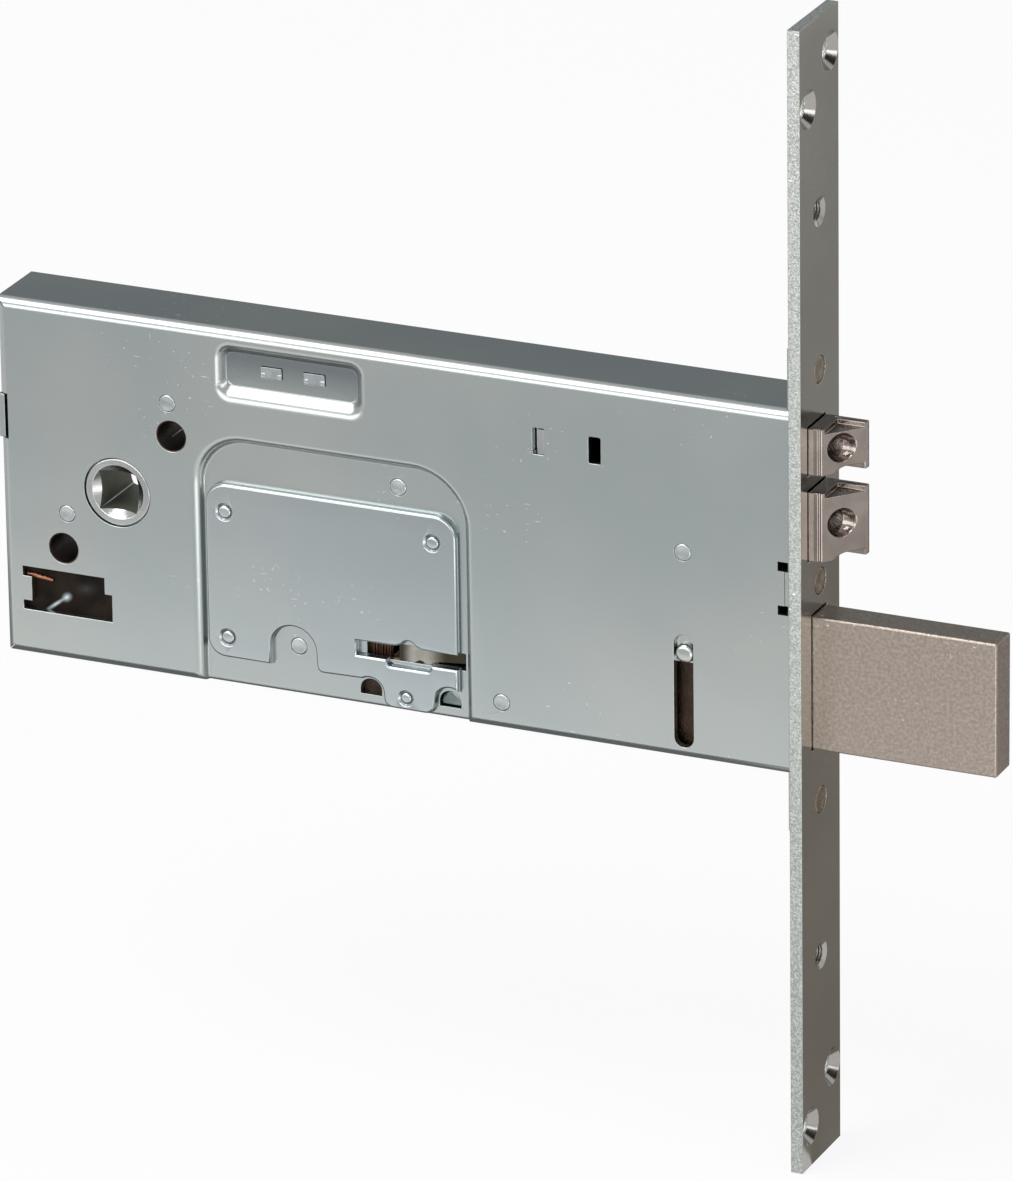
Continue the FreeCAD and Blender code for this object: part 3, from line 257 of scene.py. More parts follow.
def second_finish(piece, material, chosen):
    """Gives another material to the faces that are chosen by their middle, in mm, and normal."""
    piece.data.materials.append(material)
    for face in piece.data.polygons:
        if chosen(face.center * 1000, face.normal):
            face.material_index = 1


# the zinc's look: cloudy colour, fine handling marks and a barely wavy surface
def node_group(name, inputs, outputs):
    """An empty shader node group with named sockets and its two end nodes."""
    group = bpy.data.node_groups.new(name, "ShaderNodeTree")
    for label, kind, value in inputs:
        socket = group.interface.new_socket(label, in_out="INPUT", socket_type="NodeSocket" + kind)
        socket.default_value = value
    for label, kind in outputs:
        group.interface.new_socket(label, in_out="OUTPUT", socket_type="NodeSocket" + kind)
    return group, group.nodes.new("NodeGroupInput"), group.nodes.new("NodeGroupOutput")


def wire(tree, start, end):
    tree.links.new(start, end)


def noise(tree, place, scale, detail, rough=0.5, stretch=None):
    """A noise texture in the piece's own metres; stretch is a scale and, if given, a turn per axis."""
    node = tree.nodes.new("ShaderNodeTexNoise")
    node.inputs["Detail"].default_value = detail
    node.inputs["Roughness"].default_value = rough
    if isinstance(scale, (int, float)):
        node.inputs["Scale"].default_value = scale
    else:
        wire(tree, scale, node.inputs["Scale"])
    if stretch:
        mapping = tree.nodes.new("ShaderNodeMapping")
        mapping.inputs["Scale"].default_value = stretch[:3]
        mapping.inputs["Rotation"].default_value = stretch[3:]
        wire(tree, place, mapping.inputs["Vector"])
        place = mapping.outputs["Vector"]
    wire(tree, place, node.inputs["Vector"])
    return node.outputs["Fac"]


def ramp(tree, value, low, high):
    """0 below low, 1 above high, smooth between."""
    node = tree.nodes.new("ShaderNodeMapRange")
    node.interpolation_type = "SMOOTHSTEP"
    node.inputs["From Min"].default_value = low
    node.inputs["From Max"].default_value = high
    wire(tree, value, node.inputs["Value"])
    return node.outputs["Result"]


def maths(tree, operation, *values):
    node = tree.nodes.new("ShaderNodeMath")
    node.operation = operation
    for socket, value in zip(node.inputs, values):
        if isinstance(value, (int, float)):
            socket.default_value = value
        else:
            wire(tree, value, socket)
    return node.outputs[0]


def blend_colour(tree, share, first, second):
    """From the first colour to the second, which may be three plain numbers."""
    node = tree.nodes.new("ShaderNodeMix")
    node.data_type = "RGBA"
    wire(tree, share, node.inputs[0])
    wire(tree, first, node.inputs[6])
    if isinstance(second, tuple):
        node.inputs[7].default_value = (*second, 1)
    else:
        wire(tree, second, node.inputs[7])
    return node.outputs[2]


def bump(tree, distance, strength, height):
    node = tree.nodes.new("ShaderNodeBump")
    node.inputs["Distance"].default_value = distance
    wire(tree, strength, node.inputs["Strength"])
    wire(tree, height, node.inputs["Height"])
    return node


PLATED, start, end = node_group(
    "plated_metal",
    [("Place", "Vector", (0, 0, 0)), ("Main", "Color", (0.4, 0.4, 0.4, 1)),
     ("Cloud", "Color", (0.4, 0.4, 0.4, 1)), ("Mark", "Color", (0.8, 0.8, 0.8, 1)),
     ("Cloud Size", "Float", 30.0), ("Marks", "Float", 0.5), ("Roughness", "Float", 0.3),
     ("Grain", "Float", 0.1), ("Grain Size", "Float", 3000.0), ("Wave", "Float", 0.1)],
    [("Color", "Color"), ("Roughness", "Float"), ("Normal", "Vector")])
place = start.outputs["Place"]
cloudy = ramp(PLATED, noise(PLATED, place, start.outputs["Cloud Size"], 4), 0.33, 0.7)
short_a = ramp(PLATED, noise(PLATED, place, 330, 1, 0.5, (1.0, 1.5, 5.5, 0, 0.9, 0)), 0.735, 0.775)
short_b = ramp(PLATED, noise(PLATED, place, 420, 1, 0.5, (5.0, 1.5, 1.0, 0, 0.5, 0)), 0.75, 0.79)
pits = ramp(PLATED, noise(PLATED, place, 1300, 0), 0.77, 0.81)
where = ramp(PLATED, noise(PLATED, place, 42, 1), 0.54, 0.66)
marks = maths(PLATED, "MAXIMUM", maths(PLATED, "MAXIMUM", short_a, short_b), pits)
marks = maths(PLATED, "MULTIPLY", maths(PLATED, "MULTIPLY", marks, where), start.outputs["Marks"])
tone = blend_colour(PLATED, cloudy, start.outputs["Main"], start.outputs["Cloud"])
wire(PLATED, blend_colour(PLATED, marks, tone, start.outputs["Mark"]), end.inputs["Color"])
fine = noise(PLATED, place, start.outputs["Grain Size"], 2, 0.6)
gritty = maths(PLATED, "MULTIPLY", maths(PLATED, "SUBTRACT", fine, 0.5), start.outputs["Grain"])
uneven = maths(PLATED, "MULTIPLY_ADD", gritty, 0.3, start.outputs["Roughness"])
uneven = maths(PLATED, "MULTIPLY_ADD", cloudy, 0.02, uneven)
wire(PLATED, maths(PLATED, "MULTIPLY_ADD", marks, 0.08, uneven), end.inputs["Roughness"])
wave = bump(PLATED, 0.004, start.outputs["Wave"], noise(PLATED, place, 30, 1, 0.4))
pitted = maths(PLATED, "SUBTRACT", fine, maths(PLATED, "MULTIPLY", marks, 0.4))
grit = bump(PLATED, 0.00025, start.outputs["Grain"], pitted)
wire(PLATED, wave.outputs["Normal"], grit.inputs["Normal"])
wire(PLATED, grit.outputs["Normal"], end.inputs["Normal"])


def plated(name, main, cloud_colour, mark=(0.8, 0.82, 0.82), size=30.0, marks=0.5, rough=0.3, grain=0.1,
           grain_size=3000.0, wave=0.1, metallic=1.0):
    """A material with the plated metal's nodes, in its own colours and grain."""
    material = bpy.data.materials.new(name)
    material.use_nodes = True
    tree = material.node_tree
    shader = tree.nodes["Principled BSDF"]
    shader.inputs["Metallic"].default_value = metallic
    where = tree.nodes.new("ShaderNodeTexCoord")
    metal = tree.nodes.new("ShaderNodeGroup")
    metal.node_tree = PLATED
    wire(tree, where.outputs["Object"], metal.inputs["Place"])
    values = {"Main": (*main, 1), "Cloud": (*cloud_colour, 1), "Mark": (*mark, 1), "Cloud Size": size,
              "Marks": marks, "Roughness": rough, "Grain": grain, "Grain Size": grain_size, "Wave": wave}
    for label, value in values.items():
        metal.inputs[label].default_value = value
    for output, socket in (("Color", "Base Color"), ("Roughness", "Roughness"), ("Normal", "Normal")):
        wire(tree, metal.outputs[output], shader.inputs[socket])
    return material


def place_of(material):
    """The material's tree and, in it, the x, y and z of the piece's own metres."""
    tree = material.node_tree
    spread = tree.nodes.new("ShaderNodeSeparateXYZ")
    wire(tree, tree.nodes["Texture Coordinate"].outputs["Object"], spread.inputs[0])
    return tree, *spread.outputs


def tinted(material, share, colour):
    """Lets the colour take over from the metal's own where share is 1."""
    base = material.node_tree.nodes["Principled BSDF"].inputs["Base Color"]
    own = base.links[0].from_socket
    wire(material.node_tree, blend_colour(material.node_tree, share, own, colour), base)


ZINC = plated("zinc_sheet", (0.36, 0.395, 0.395), (0.395, 0.418, 0.402), rough=0.245, grain=0.02,
              wave=0.09, marks=0.42, size=24)

# outlines of what is pressed into the sheet and cut from it
ARCH_LEFT, ARCH_RIGHT, ARCH_TOP = -126.6, -70.6, 13.8
PAD_RIM = (-123.0, -90.4, 21.9, 34.7)
PAD_FLOOR = (-120.9, -93.3, 25.2, 31.9)

# the pad's floor is shaded by its own walls, most under the upper one
tree, x, y, z = place_of(ZINC)
sunk = ramp(tree, y, (FLOOR_Y - 0.5) / 1000, (FLOOR_Y - 0.05) / 1000)
beside = ramp(tree, x, (PAD_RIM[0] - 1) / 1000, PAD_RIM[0] / 1000)
above = ramp(tree, z, (PAD_RIM[2] - 1) / 1000, PAD_RIM[2] / 1000)
under = maths(tree, "SUBTRACT", 1.0, ramp(tree, z, (PAD_RIM[3] - 0.5) / 1000, PAD_RIM[3] / 1000))
sunk = maths(tree, "MULTIPLY", maths(tree, "MULTIPLY", sunk, beside), maths(tree, "MULTIPLY", above, under))
deep = maths(tree, "MULTIPLY_ADD", ramp(tree, z, PAD_FLOOR[2] / 1000, PAD_FLOOR[3] / 1000), 0.45, 0.4)
tinted(ZINC, maths(tree, "MULTIPLY", sunk, deep), (0.15, 0.17, 0.18))
LOW = -HALF_HEIGHT + BEND
arch = [(ARCH_RIGHT, LOW)] + arc(ARCH_RIGHT - 11, ARCH_TOP - 11, 11, 0, 90, 12)
arch += arc(ARCH_LEFT + 9.5, ARCH_TOP - 9.5, 9.5, 90, 180, 12) + [(ARCH_LEFT, LOW)]
pad_rim, pad_floor = rounded(*PAD_RIM, 3.6, 8), rounded(*PAD_FLOOR, 1.3, 8)

HUB_X, HUB_HOLE = -144.3, 7.13
KEY_X, KEY_Z = -82.9, -24.9
SMALL_RIVETS = ((-133.0, 20.1), (-155.3, -6.0), (-85.1, 9.1), (-63.1, -31.3), (-25.0, 5.4), (-106.9, -27.1))
PLATE_RIVETS = ((-121.6, -0.9), (-77.5, -0.8), (-121.5, -27.0), (-83.6, -33.9))
HALF_HOLES, HALF_Z, HALF_FOOT, HALF_RADIUS = (-91.6, -74.8), -33.8, -34.85, 2.25
SLOT_X, SLOT_RANGE = -25.0, (-34.6, -11.5)
SLEEVES, SLEEVE_HOLE = ((-132.3, 13.4), (-156.3, -13.4)), 3.2
TENONS = ((-111.4, 28.7), (-102.3, 28.7))
SMALL_SLOTS = ((-54.6, 23.6), (-43.0, 23.4))
WIRE_OPENING = [(-165.4, -27.4), (-146.1, -27.4), (-146.1, -21.8), (-147.7, -21.8), (-147.7, -18.4),
                (-165.4, -18.4), (-165.4, -20.4), (-163.5, -20.4), (-163.5, -25.5), (-165.4, -25.5)]


def in_arch(x, z):
    return ARCH_LEFT < x < ARCH_RIGHT and z < ARCH_TOP


def half_hole(x):
    foot = [(x - HALF_RADIUS, HALF_FOOT), (x + HALF_RADIUS, HALF_FOOT)]
    return foot + arc(x, HALF_Z, HALF_RADIUS, 0, 180, 12)


flat_cuts = [circle(HUB_X, 0, HUB_HOLE, 64)] + [circle(x, z, SLEEVE_HOLE) for x, z in SLEEVES]
flat_cuts += [circle(x, z, 1.75, 28) for x, z in SMALL_RIVETS if not in_arch(x, z)]
flat_cuts.append(rounded(SLOT_X - 2.0, SLOT_X + 2.0, *SLOT_RANGE, 1.98, 8))
flat_cuts += [rounded(x - 1.25, x + 1.25, z - 2.7, z + 2.7, 0.35, 3) for x, z in SMALL_SLOTS]
flat_cuts.append(WIRE_OPENING)
floor_cuts = [circle(x, z, 1.75, 28) for x, z in SMALL_RIVETS if in_arch(x, z)]
# the sheet's own key opening is longer and lower than the plate's slot in front of it
floor_cuts.append(rounded(KEY_X - 9.4, KEY_X + 11.5, KEY_Z - 1.9, KEY_Z + 1.6, 0.2, 2))
floor_cuts += [half_hole(x) for x in HALF_HOLES]
pad_cuts = [rounded(x - 2.3, x + 2.3, z - 1.2, z + 1.2, 0.14, 1) for x, z in TENONS]


def press_steps(outer_radius, inner_radius, slope, steps=5):
    """(grow, depth) steps of a pressed wall: rolled off outside, straight, rolled out inside."""
    steep = math.radians(slope)
    out_wide, in_wide = outer_radius * math.sin(steep), inner_radius * math.sin(steep)
    rest = PRESS - (outer_radius + inner_radius) * (1 - math.cos(steep))
    middle = rest / math.tan(steep) / 2
    angles = [steep * step / steps for step in range(steps + 1)]
    rows = []
    for angle in angles:
        grow = middle + out_wide - outer_radius * math.sin(angle)
        rows.append((grow, outer_radius * (1 - math.cos(angle))))
    for angle in angles[::-1]:
        grow = -middle - in_wide + inner_radius * math.sin(angle)
        rows.append((grow, PRESS - inner_radius * (1 - math.cos(angle))))
    return rows


arch_steps = press_steps(1.9, 0.45, 72)
# share of the way from the pad's rim to its floor, and depth
PAD_PROFILE = ((0, 0), (0.13, 0.03), (0.26, 0.12), (0.4, 0.31), (0.53, 0.6), (0.66, 0.99), (0.77, 1.38),
               (0.86, 1.7), (0.93, 1.9), (1.0, 2.0))
BEND_ANGLES = (11.5, 28, 46, 70, 90)
LUG_HALF = 6.1
CORNER_GAP = 0.15
HOLE_EDGE = 0.12
WEB_BACK, RELIEF_BACK = 1.6, 3.0
RELIEFS = ((-4.3, -2.4), (4.6, 6.5))
REAR_SLOT = (7.9, 17.2)


def sheet_side(inside):
    """Points and faces of the sheet's outer or inner side; both have the same points in the same order."""
    skin = Skin()
    thick = SHEET if inside else 0.0
    radius = BEND - thick

    def flat_point(u, v, w):
        return (u, FACE_Y + thick + w, v)

    def opening(loop, base):
        if inside:
            steps = [(HOLE_EDGE * share, base) for share in (1, 0.6, 0.3, 0)]
        else:
            steps = rolled(HOLE_EDGE, 1, base, 3)
        return skin.tube(loop, flat_point, steps)[0]

    def column(start, x, z, dx, dz, deepest=0.0, mitred=False):
        """A point of the flat's border with the bend and flange points that follow it."""
        rows = []
        for angle in BEND_ANGLES:
            turn = math.radians(angle)
            out = radius * math.sin(turn)
            y = FACE_Y + thick + radius * (1 - math.cos(turn))
            if deepest:
                past = max(0.0, out - (radius - 0.5))
                lip = 0.5 - math.sqrt(max(0.0, 0.25 - past * past))
                y = max(y, FACE_Y + thick + deepest + lip * deepest / PRESS)
            rows.append((out, y))
        made = [start]
        for out, y in rows + [(radius, LUG_HALF), (radius, -FACE_Y)]:
            px, pz = x + dx * out, z + dz * out
            if mitred and dz:
                px = REAR_X + BEND - (abs(pz) - (HALF_HEIGHT - BEND)) + CORNER_GAP
            elif mitred:
                pz = math.copysign(HALF_HEIGHT - BEND + (REAR_X + BEND - px) - CORNER_GAP, pz)
            made.append(skin.add((px, y, pz)))
        return made

    def strip(columns, skip=()):
        for c, (left, right) in enumerate(zip(columns, columns[1:])):
            for r in range(len(left) - 1):
                if (c, r) not in skip:
                    skin.faces.append((left[r], right[r], right[r + 1], left[r + 1]))

    rear, front = REAR_X + BEND, FRONT_X
    relief, web = FRONT_X - RELIEF_BACK, FRONT_X - WEB_BACK
    (low_foot, low_head), (high_foot, high_head) = RELIEFS
    edge = [(front, LOW), (front, low_foot), (relief, low_foot), (relief, low_head), (web, low_head),
            (web, high_foot), (relief, high_foot), (relief, high_head), (front, high_head), (front, -LOW),
            (web, -LOW), (rear, -LOW), (rear, REAR_SLOT[1]), (rear, REAR_SLOT[0]), (rear, LOW)]
    border = skin.ring(edge, flat_point, 0)
    low_web = skin.ring([(web, LOW)], flat_point, 0)
    # pressed arch, open at the bottom: each ring's two ends start a column of the bottom bend
    arch_rings = []
    for grow, depth in arch_steps:
        loop = grown(arch, grow + thick, True)
        loop[0], loop[-1] = (loop[0][0], LOW), (loop[-1][0], LOW)
        arch_rings.append((skin.ring(loop, flat_point, depth), depth))
    for (first, _), (second, _) in zip(arch_rings, arch_rings[1:]):
        skin.wall(first, second, closed=False)
    pad_rings = []
    for share, depth in PAD_PROFILE:
        loop = [(a[0] + (b[0] - a[0]) * share, a[1] + (b[1] - a[1]) * share)
                for a, b in zip(pad_rim, pad_floor)]
        pad_rings.append(skin.ring(grown(loop, 0.12 * thick), flat_point, depth))
    for first, second in zip(pad_rings, pad_rings[1:]):
        skin.wall(first, second)
    outer_arch, inner_arch = arch_rings[0][0], arch_rings[-1][0]
    openings = [opening(loop, 0) for loop in flat_cuts]
    skin.fill([border + outer_arch[::-1] + low_web, pad_rings[0]] + openings)
    skin.fill([inner_arch] + [opening(loop, PRESS) for loop in floor_cuts])
    skin.fill([pad_rings[-1]] + [opening(loop, PRESS) for loop in pad_cuts])
    # top bend and flange, then rear, then bottom
    top = [column(border[11], rear, -LOW, 0, 1, mitred=True)]
    top += [column(border[10], web, -LOW, 0, 1), column(border[9], front, -LOW, 0, 1)]
    strip(top, {(1, 4), (1, 5)})
    back = [column(border[11], rear, -LOW, -1, 0, mitred=True)]
    back += [column(border[12], rear, REAR_SLOT[1], -1, 0), column(border[13], rear, REAR_SLOT[0], -1, 0)]
    back.append(column(border[14], rear, LOW, -1, 0, mitred=True))
    strip(back, {(1, row) for row in range(5)})
    bottom = [column(border[14], rear, LOW, 0, -1, mitred=True)]
    for ring, depth in arch_rings:
        bottom.append(column(ring[-1], skin.flat[ring[-1]][0], LOW, 0, -1, depth))
    for ring, depth in arch_rings[::-1]:
        bottom.append(column(ring[0], skin.flat[ring[0]][0], LOW, 0, -1, depth))
    bottom += [column(low_web[0], web, LOW, 0, -1), column(border[0], front, LOW, 0, -1)]
    strip(bottom, {(len(bottom) - 2, 4), (len(bottom) - 2, 5)})
    return skin


outer, inner = sheet_side(False), sheet_side(True)
case = Skin()
offset = len(outer.points)
case.points = outer.points + inner.points
case.flat = outer.flat + inner.flat
case.faces = list(outer.faces) + [tuple(offset + i for i in face[::-1]) for face in outer.faces]
used = {}
for face in outer.faces:
    for a, b in zip(face, face[1:] + face[:1]):
        used.setdefault(frozenset((a, b)), []).append((a, b))
for sides in used.values():
    if len(sides) == 1:
        a, b = sides[0]
        case.faces.append((b, a, offset + a, offset + b))
# the tongue in the rear slot and the lug behind the right half hole, which lies in shade
case.block((REAR_X, -7.7, 8.1), (REAR_X + 1.3, -5.7, 17.0), 0.12)
lug = rounded(HALF_HOLES[1] - 1.95, HALF_HOLES[1] + 1.95, -34.6, -31.85, (0.2, 0.2, 1.9, 1.9), 6)
case.plate(on_sheet, [(lug, [(-0.1, 2.75), (0, 2.85), (0, 4.6)])])
case_piece = case.make("case_sheet", ZINC, "case", "zinc_sheet", ["case_shell"], sharp=50)
SHADED_ZINC = plated("shaded_zinc", (0.13, 0.165, 0.165), (0.19, 0.225, 0.22), rough=0.3, marks=0.5, size=300)
second_finish(case_piece, SHADED_ZINC, lambda at, normal:
              abs(at.x - HALF_HOLES[1]) < 2 and -5.1 < at.y < -3.1 and -34.7 < at.z < -31.8)


# Drill-protection plate: 1.5 mm hardened sheet lying in the pressed arch, its top and side edges
# rounded by the punch. Its foot is notched round the lever rivet and beside the tab, and the key
# slot runs out through its front edge.

PLATE_LEFT, PLATE_RIGHT, PLATE_LOW, PLATE_TOP = -125.7, -72.5, -31.2, 4.9
PLATE_FACE = 0.5


def plate_outline():
    loop = arc(PLATE_LEFT + 3.6, PLATE_LOW + 3.6, 3.6, 180, 270, 8)
    loop += [(-112.3, PLATE_LOW)] + arc(-107.5, -27.5, 4.85, 180, 0, 18)
    loop += arc(-101.2, -30.1, 1.3, 180, 270, 5)
    left, right = HALF_HOLES
    loop += arc(left + 0.3, HALF_Z + 0.1, 2.9, 122, 0, 12)
    loop += arc(left + 5.15, -34.4, 1.95, 200, 270, 5) + arc(right - 4.75, -34.45, 1.95, 270, 350, 5)
    loop += arc(right + 0.5, HALF_Z + 0.2, 3.2, 180, 56, 12)
    half, wide, tall, r = 11.0, 4.8, 2.8, 1.1
    loop += [(PLATE_RIGHT, KEY_Z - 1.5), (KEY_X + wide, KEY_Z - 1.5)]
    loop += arc(KEY_X + wide - r, KEY_Z - tall + r, r, 350, 270, 5)
    loop += arc(KEY_X - wide + r, KEY_Z - tall + r, r, 270, 190, 5)
    loop += [(KEY_X - wide, KEY_Z - 1.5), (KEY_X - half, KEY_Z - 1.5), (KEY_X - half, KEY_Z + 1.5),
             (KEY_X - wide + 2, KEY_Z + 1.5)]
    loop += arc(KEY_X, KEY_Z + 1.3, 1.6, 150, 30, 8)
    loop += [(KEY_X + wide - 2, KEY_Z + 1.5), (PLATE_RIGHT, KEY_Z + 1.5)]
    loop += arc(PLATE_RIGHT - 4.5, PLATE_TOP - 4.5, 4.5, 0, 90, 10)
    loop += arc(PLATE_LEFT + 4.5, PLATE_TOP - 4.5, 4.5, 90, 180, 10)
    return loop


RIVET_SINK = ((0.62, 0.5), (0.5, 0.53), (0.34, 0.62), (0.18, 0.74), (0.05, 0.8), (0, 0.85), (0, 2.0))
plate_edge = rolled(0.6, -1, PLATE_FACE, 5) + [(0, 1.5), (0.06, 1.62), (0.22, 2.0)]
plate_loops = [(plate_outline(), plate_edge)]
plate_loops += [(circle(x, z, 1.4 if z > PLATE_LOW else 1.2, 32), RIVET_SINK) for x, z in PLATE_RIVETS]
plate = Skin()
plate.plate(on_sheet, plate_loops)
PLATE_STEEL = plated("plate_zinc", (0.36, 0.40, 0.412), (0.395, 0.425, 0.42), rough=0.22, grain=0.02,
                     wave=0.08, marks=0.2, size=20)
plate.make("drill_plate", PLATE_STEEL, "case", "plate_steel", ["hardened_plate"], sharp=55)


# Small rivets: four in the plate, domed in a countersunk hole, and six thicker spacer rivets that
# hold the two sheets apart, peened nearly flush with a faint ring round each end.

RIVET_ZINC = plated("rivet_zinc", (0.36, 0.395, 0.40), (0.45, 0.475, 0.48), rough=0.22, grain=0.1,
                    wave=0.0, marks=0.3, size=300)
OUTWARD = (0, -1, 0)
studs = Skin()
for x, z in PLATE_RIVETS:
    wide = 1.36 if z > PLATE_LOW else 1.16
    dome = [(0, 0.0), (wide * 0.55, -0.01), (wide * 0.78, -0.06), (wide * 0.92, -0.16), (wide * 0.98, -0.3),
            (wide, -2.9), (0, -2.9)]
    studs.lathe((x, FACE_Y + PLATE_FACE, z), OUTWARD, dome, 32)
studs.make("plate_rivet_heads", RIVET_ZINC, "case", "rivet_steel", ["plate_rivets"])
SHOULDER, SHANK = 2.4, 1.73
spacers = Skin()
for x, z in SMALL_RIVETS:
    front = FLOOR_Y if in_arch(x, z) else FACE_Y
    foot = front + FACE_Y
    rows = [(0, 0.03), (1.05, 0.02), (1.3, 0.08), (1.52, 0.07), (1.66, -0.02), (SHANK, -0.14),
            (SHANK, -SHEET), (SHOULDER, -SHEET), (SHOULDER, foot + SHEET), (SHANK, foot + SHEET),
            (SHANK, foot + 0.14), (1.6, foot + 0.03), (1.2, foot), (0, foot)]
    spacers.lathe((x, front, z), OUTWARD, rows, 32)
spacers.make("spacer_rivets", RIVET_ZINC, "case", "rivet_steel", ["case_rivets", "lever_pivot"])


# Faceplate: a 2.5 mm strip sheared to width, so its long sides are grainy and its front is smooth.
# Four countersunk screw holes, two threaded ones, three rivets and the windows of the bolts.

STRIP_THICK = 2.5
STRIP_HALF, STRIP_FOOT, STRIP_HEAD = 9.5, -119, 113
FACE_RIVETS, FACE_RIVET_RADIUS = (43.2, 0.5, -44.3), 2.72
SCREWS = ((5.4, 104.6), (5.4, -102.4), (-5.4, 96.4), (-5.4, -110.6))
THREADS = (74.7, -76.7)
WINDOWS = ((6.45, 20.85, -6.1, 3.1), (23.85, 33.65, -6.1, 3.1), (-32.8, -4.9, -4.35, 3.25))


def on_strip(u, v, w):
    """A point of the faceplate: u along y, v up, w inwards from the front."""
    return (-w, u, v)


strip_outline = [(-STRIP_HALF, STRIP_FOOT), (STRIP_HALF, STRIP_FOOT), (STRIP_HALF, STRIP_HEAD),
                 (-STRIP_HALF, STRIP_HEAD)]
strip_loops = [(strip_outline, [(-0.15, 0), (-0.045, 0.045), (0, 0.15), (0, 2.4), (-0.1, STRIP_THICK)])]
sunk = [(1.66, 0), (1.6, 0.04), (0.06, 1.6), (0, 1.7), (0, STRIP_THICK)]
strip_loops += [(circle(y, z, 2.25, 44), sunk) for y, z in SCREWS]
turns = [(0.85, 0), (0.78, 0.04)] + [(0.04 if i % 2 else -0.28, 0.5 + 0.27 * i) for i in range(8)]
strip_loops += [(circle(0, z, 2.1, 36), turns + [(0, STRIP_THICK)]) for z in THREADS]
broken = [(0.1, 0), (0.03, 0.03), (0, 0.1), (0, STRIP_THICK)]
strip_loops += [(circle(0, z, FACE_RIVET_RADIUS, 36), broken) for z in FACE_RIVETS]
soft = [(0.22, 0), (0.07, 0.07), (0, 0.22), (0, STRIP_THICK)]
strip_loops += [(rounded(left, right, low, high, 0.3, 3), soft) for low, high, left, right in WINDOWS]
strip = Skin()
strip.plate(on_strip, strip_loops)
STRIP_FRONT = plated("strip_front", (0.37, 0.355, 0.33), (0.42, 0.41, 0.385), mark=(0.75, 0.73, 0.7),
                     rough=0.17, grain=0.03, wave=0.04, marks=0.35, size=26)
SHEARED = plated("strip_sheared_side", (0.29, 0.31, 0.295), (0.52, 0.54, 0.515), mark=(0.95, 0.96, 0.95),
                 rough=0.4, grain=0.45, grain_size=3000, wave=0.0, marks=0.9, size=2600)
faceplate = strip.make("faceplate_strip", STRIP_FRONT, "case", "zinc_strip", ["faceplate"], sharp=35)
second_finish(faceplate, SHEARED, lambda at, normal: abs(normal.x) < 0.4 or at.x < -2.4)
BROWNED = plated("browned_rivet", (0.22, 0.165, 0.12), (0.33, 0.27, 0.21), mark=(0.6, 0.55, 0.5), rough=0.25,
                 grain=0.3, wave=0.0, marks=0.6, size=500)
disc = [(0, -0.16), (0.9, -0.14), (1.7, -0.05), (2.2, -0.03), (2.5, -0.07), (2.68, -0.25), (2.68, -4.0),
        (3.8, -4.0), (3.75, -4.9), (3.4, -5.2), (0, -5.2)]
discs = Skin()
for z in FACE_RIVETS:
    discs.lathe((0, 0, z), (1, 0, 0), disc, 40)
discs.make("faceplate_rivet_discs", BROWNED, "case", "rivet_steel", ["faceplate_rivets"])


# Bracket: a bent steel part behind the faceplate. A small tab of it shows flush in the case's
# front edge between two square relief notches, and its feet are spot-welded inside the case.

WEB_LEFT, WEB_RIGHT, WEB_HALF, TAB_LEFT = -6.2, 6, 49, -7.72
WEB_FRONT, WEB_REAR = 2.5, 4.0
web_edge = [(WEB_LEFT, -WEB_HALF), (WEB_RIGHT, -WEB_HALF), (WEB_RIGHT, WEB_HALF), (WEB_LEFT, WEB_HALF),
            (WEB_LEFT, 4.55), (TAB_LEFT, 4.55), (TAB_LEFT, -2.35), (WEB_LEFT, -2.35)]
web_loops = [(web_edge, [(-0.1, WEB_FRONT), (0, 2.6), (0, WEB_REAR), (-0.06, 4.07)])]
straight = [(0, WEB_FRONT), (0, WEB_REAR)]
web_loops += [(circle(0, z, FACE_RIVET_RADIUS, 24), straight) for z in FACE_RIVETS]
for low, high, left, right in WINDOWS:
    # the latches' windows stop 0.25 short of the web's own edge
    left = max(left, WEB_LEFT + 0.25)
    web_loops.append(([(left, low), (right, low), (right, high), (left, high)], straight))
bracket = Skin()
bracket.plate(on_strip, web_loops)
for low in (-35.5, 34.3):
    bracket.block((-16, -6.0, low), (-3.9, 6.0, low + 1.2), 0.2)
bracket.make("bracket_web", ZINC, "case", "zinc_strip", ["front_bracket"], sharp=35)


# Latches: zinc die castings, nickel plated. Each has a collar that fills its window, a groove, a
# bevel with a round dimple, and a tongue at the back, left higher where the bevel is cut down.

NICKEL = plated("nickel_casting", (0.235, 0.20, 0.18), (0.30, 0.262, 0.237), mark=(0.6, 0.57, 0.53),
                rough=0.12, grain=0.12, grain_size=1500, wave=0.05, marks=0.5, size=160)
# the dimple's floor: its near-black colour is partly debris and partly painted shade of the deep bowl
BOWL_DEBRIS_AND_SHADE = plated("nickel_bowl_debris_and_shade", (0.035, 0.028, 0.024), (0.16, 0.13, 0.11), mark=(0.6, 0.57, 0.53),
                    rough=0.25, grain=1.0, grain_size=1300, wave=0.0, marks=0.8, size=700)
LATCH_BACK, LATCH_NEAR, LATCH_FAR, TONGUE_Y = -9.5, -5.85, 2.8, 1.15
BOWL = [(0, -2.7), (0.8, -2.55), (1.2, -2.4), (1.75, -2.0), (2.1, -1.6), (2.4, -1.15), (2.7, -0.5),
        (2.9, 0.2), (3.02, 1.2), (3.12, 2.2), (3.2, 6), (0, 6)]


def prism(points, low, high):
    """A solid with the given outline seen from above, from low to high."""
    skin = Skin()
    skin.plate(lambda u, v, w: (u, v, w), [(points, [(0, low), (0, high)])])
    return skin


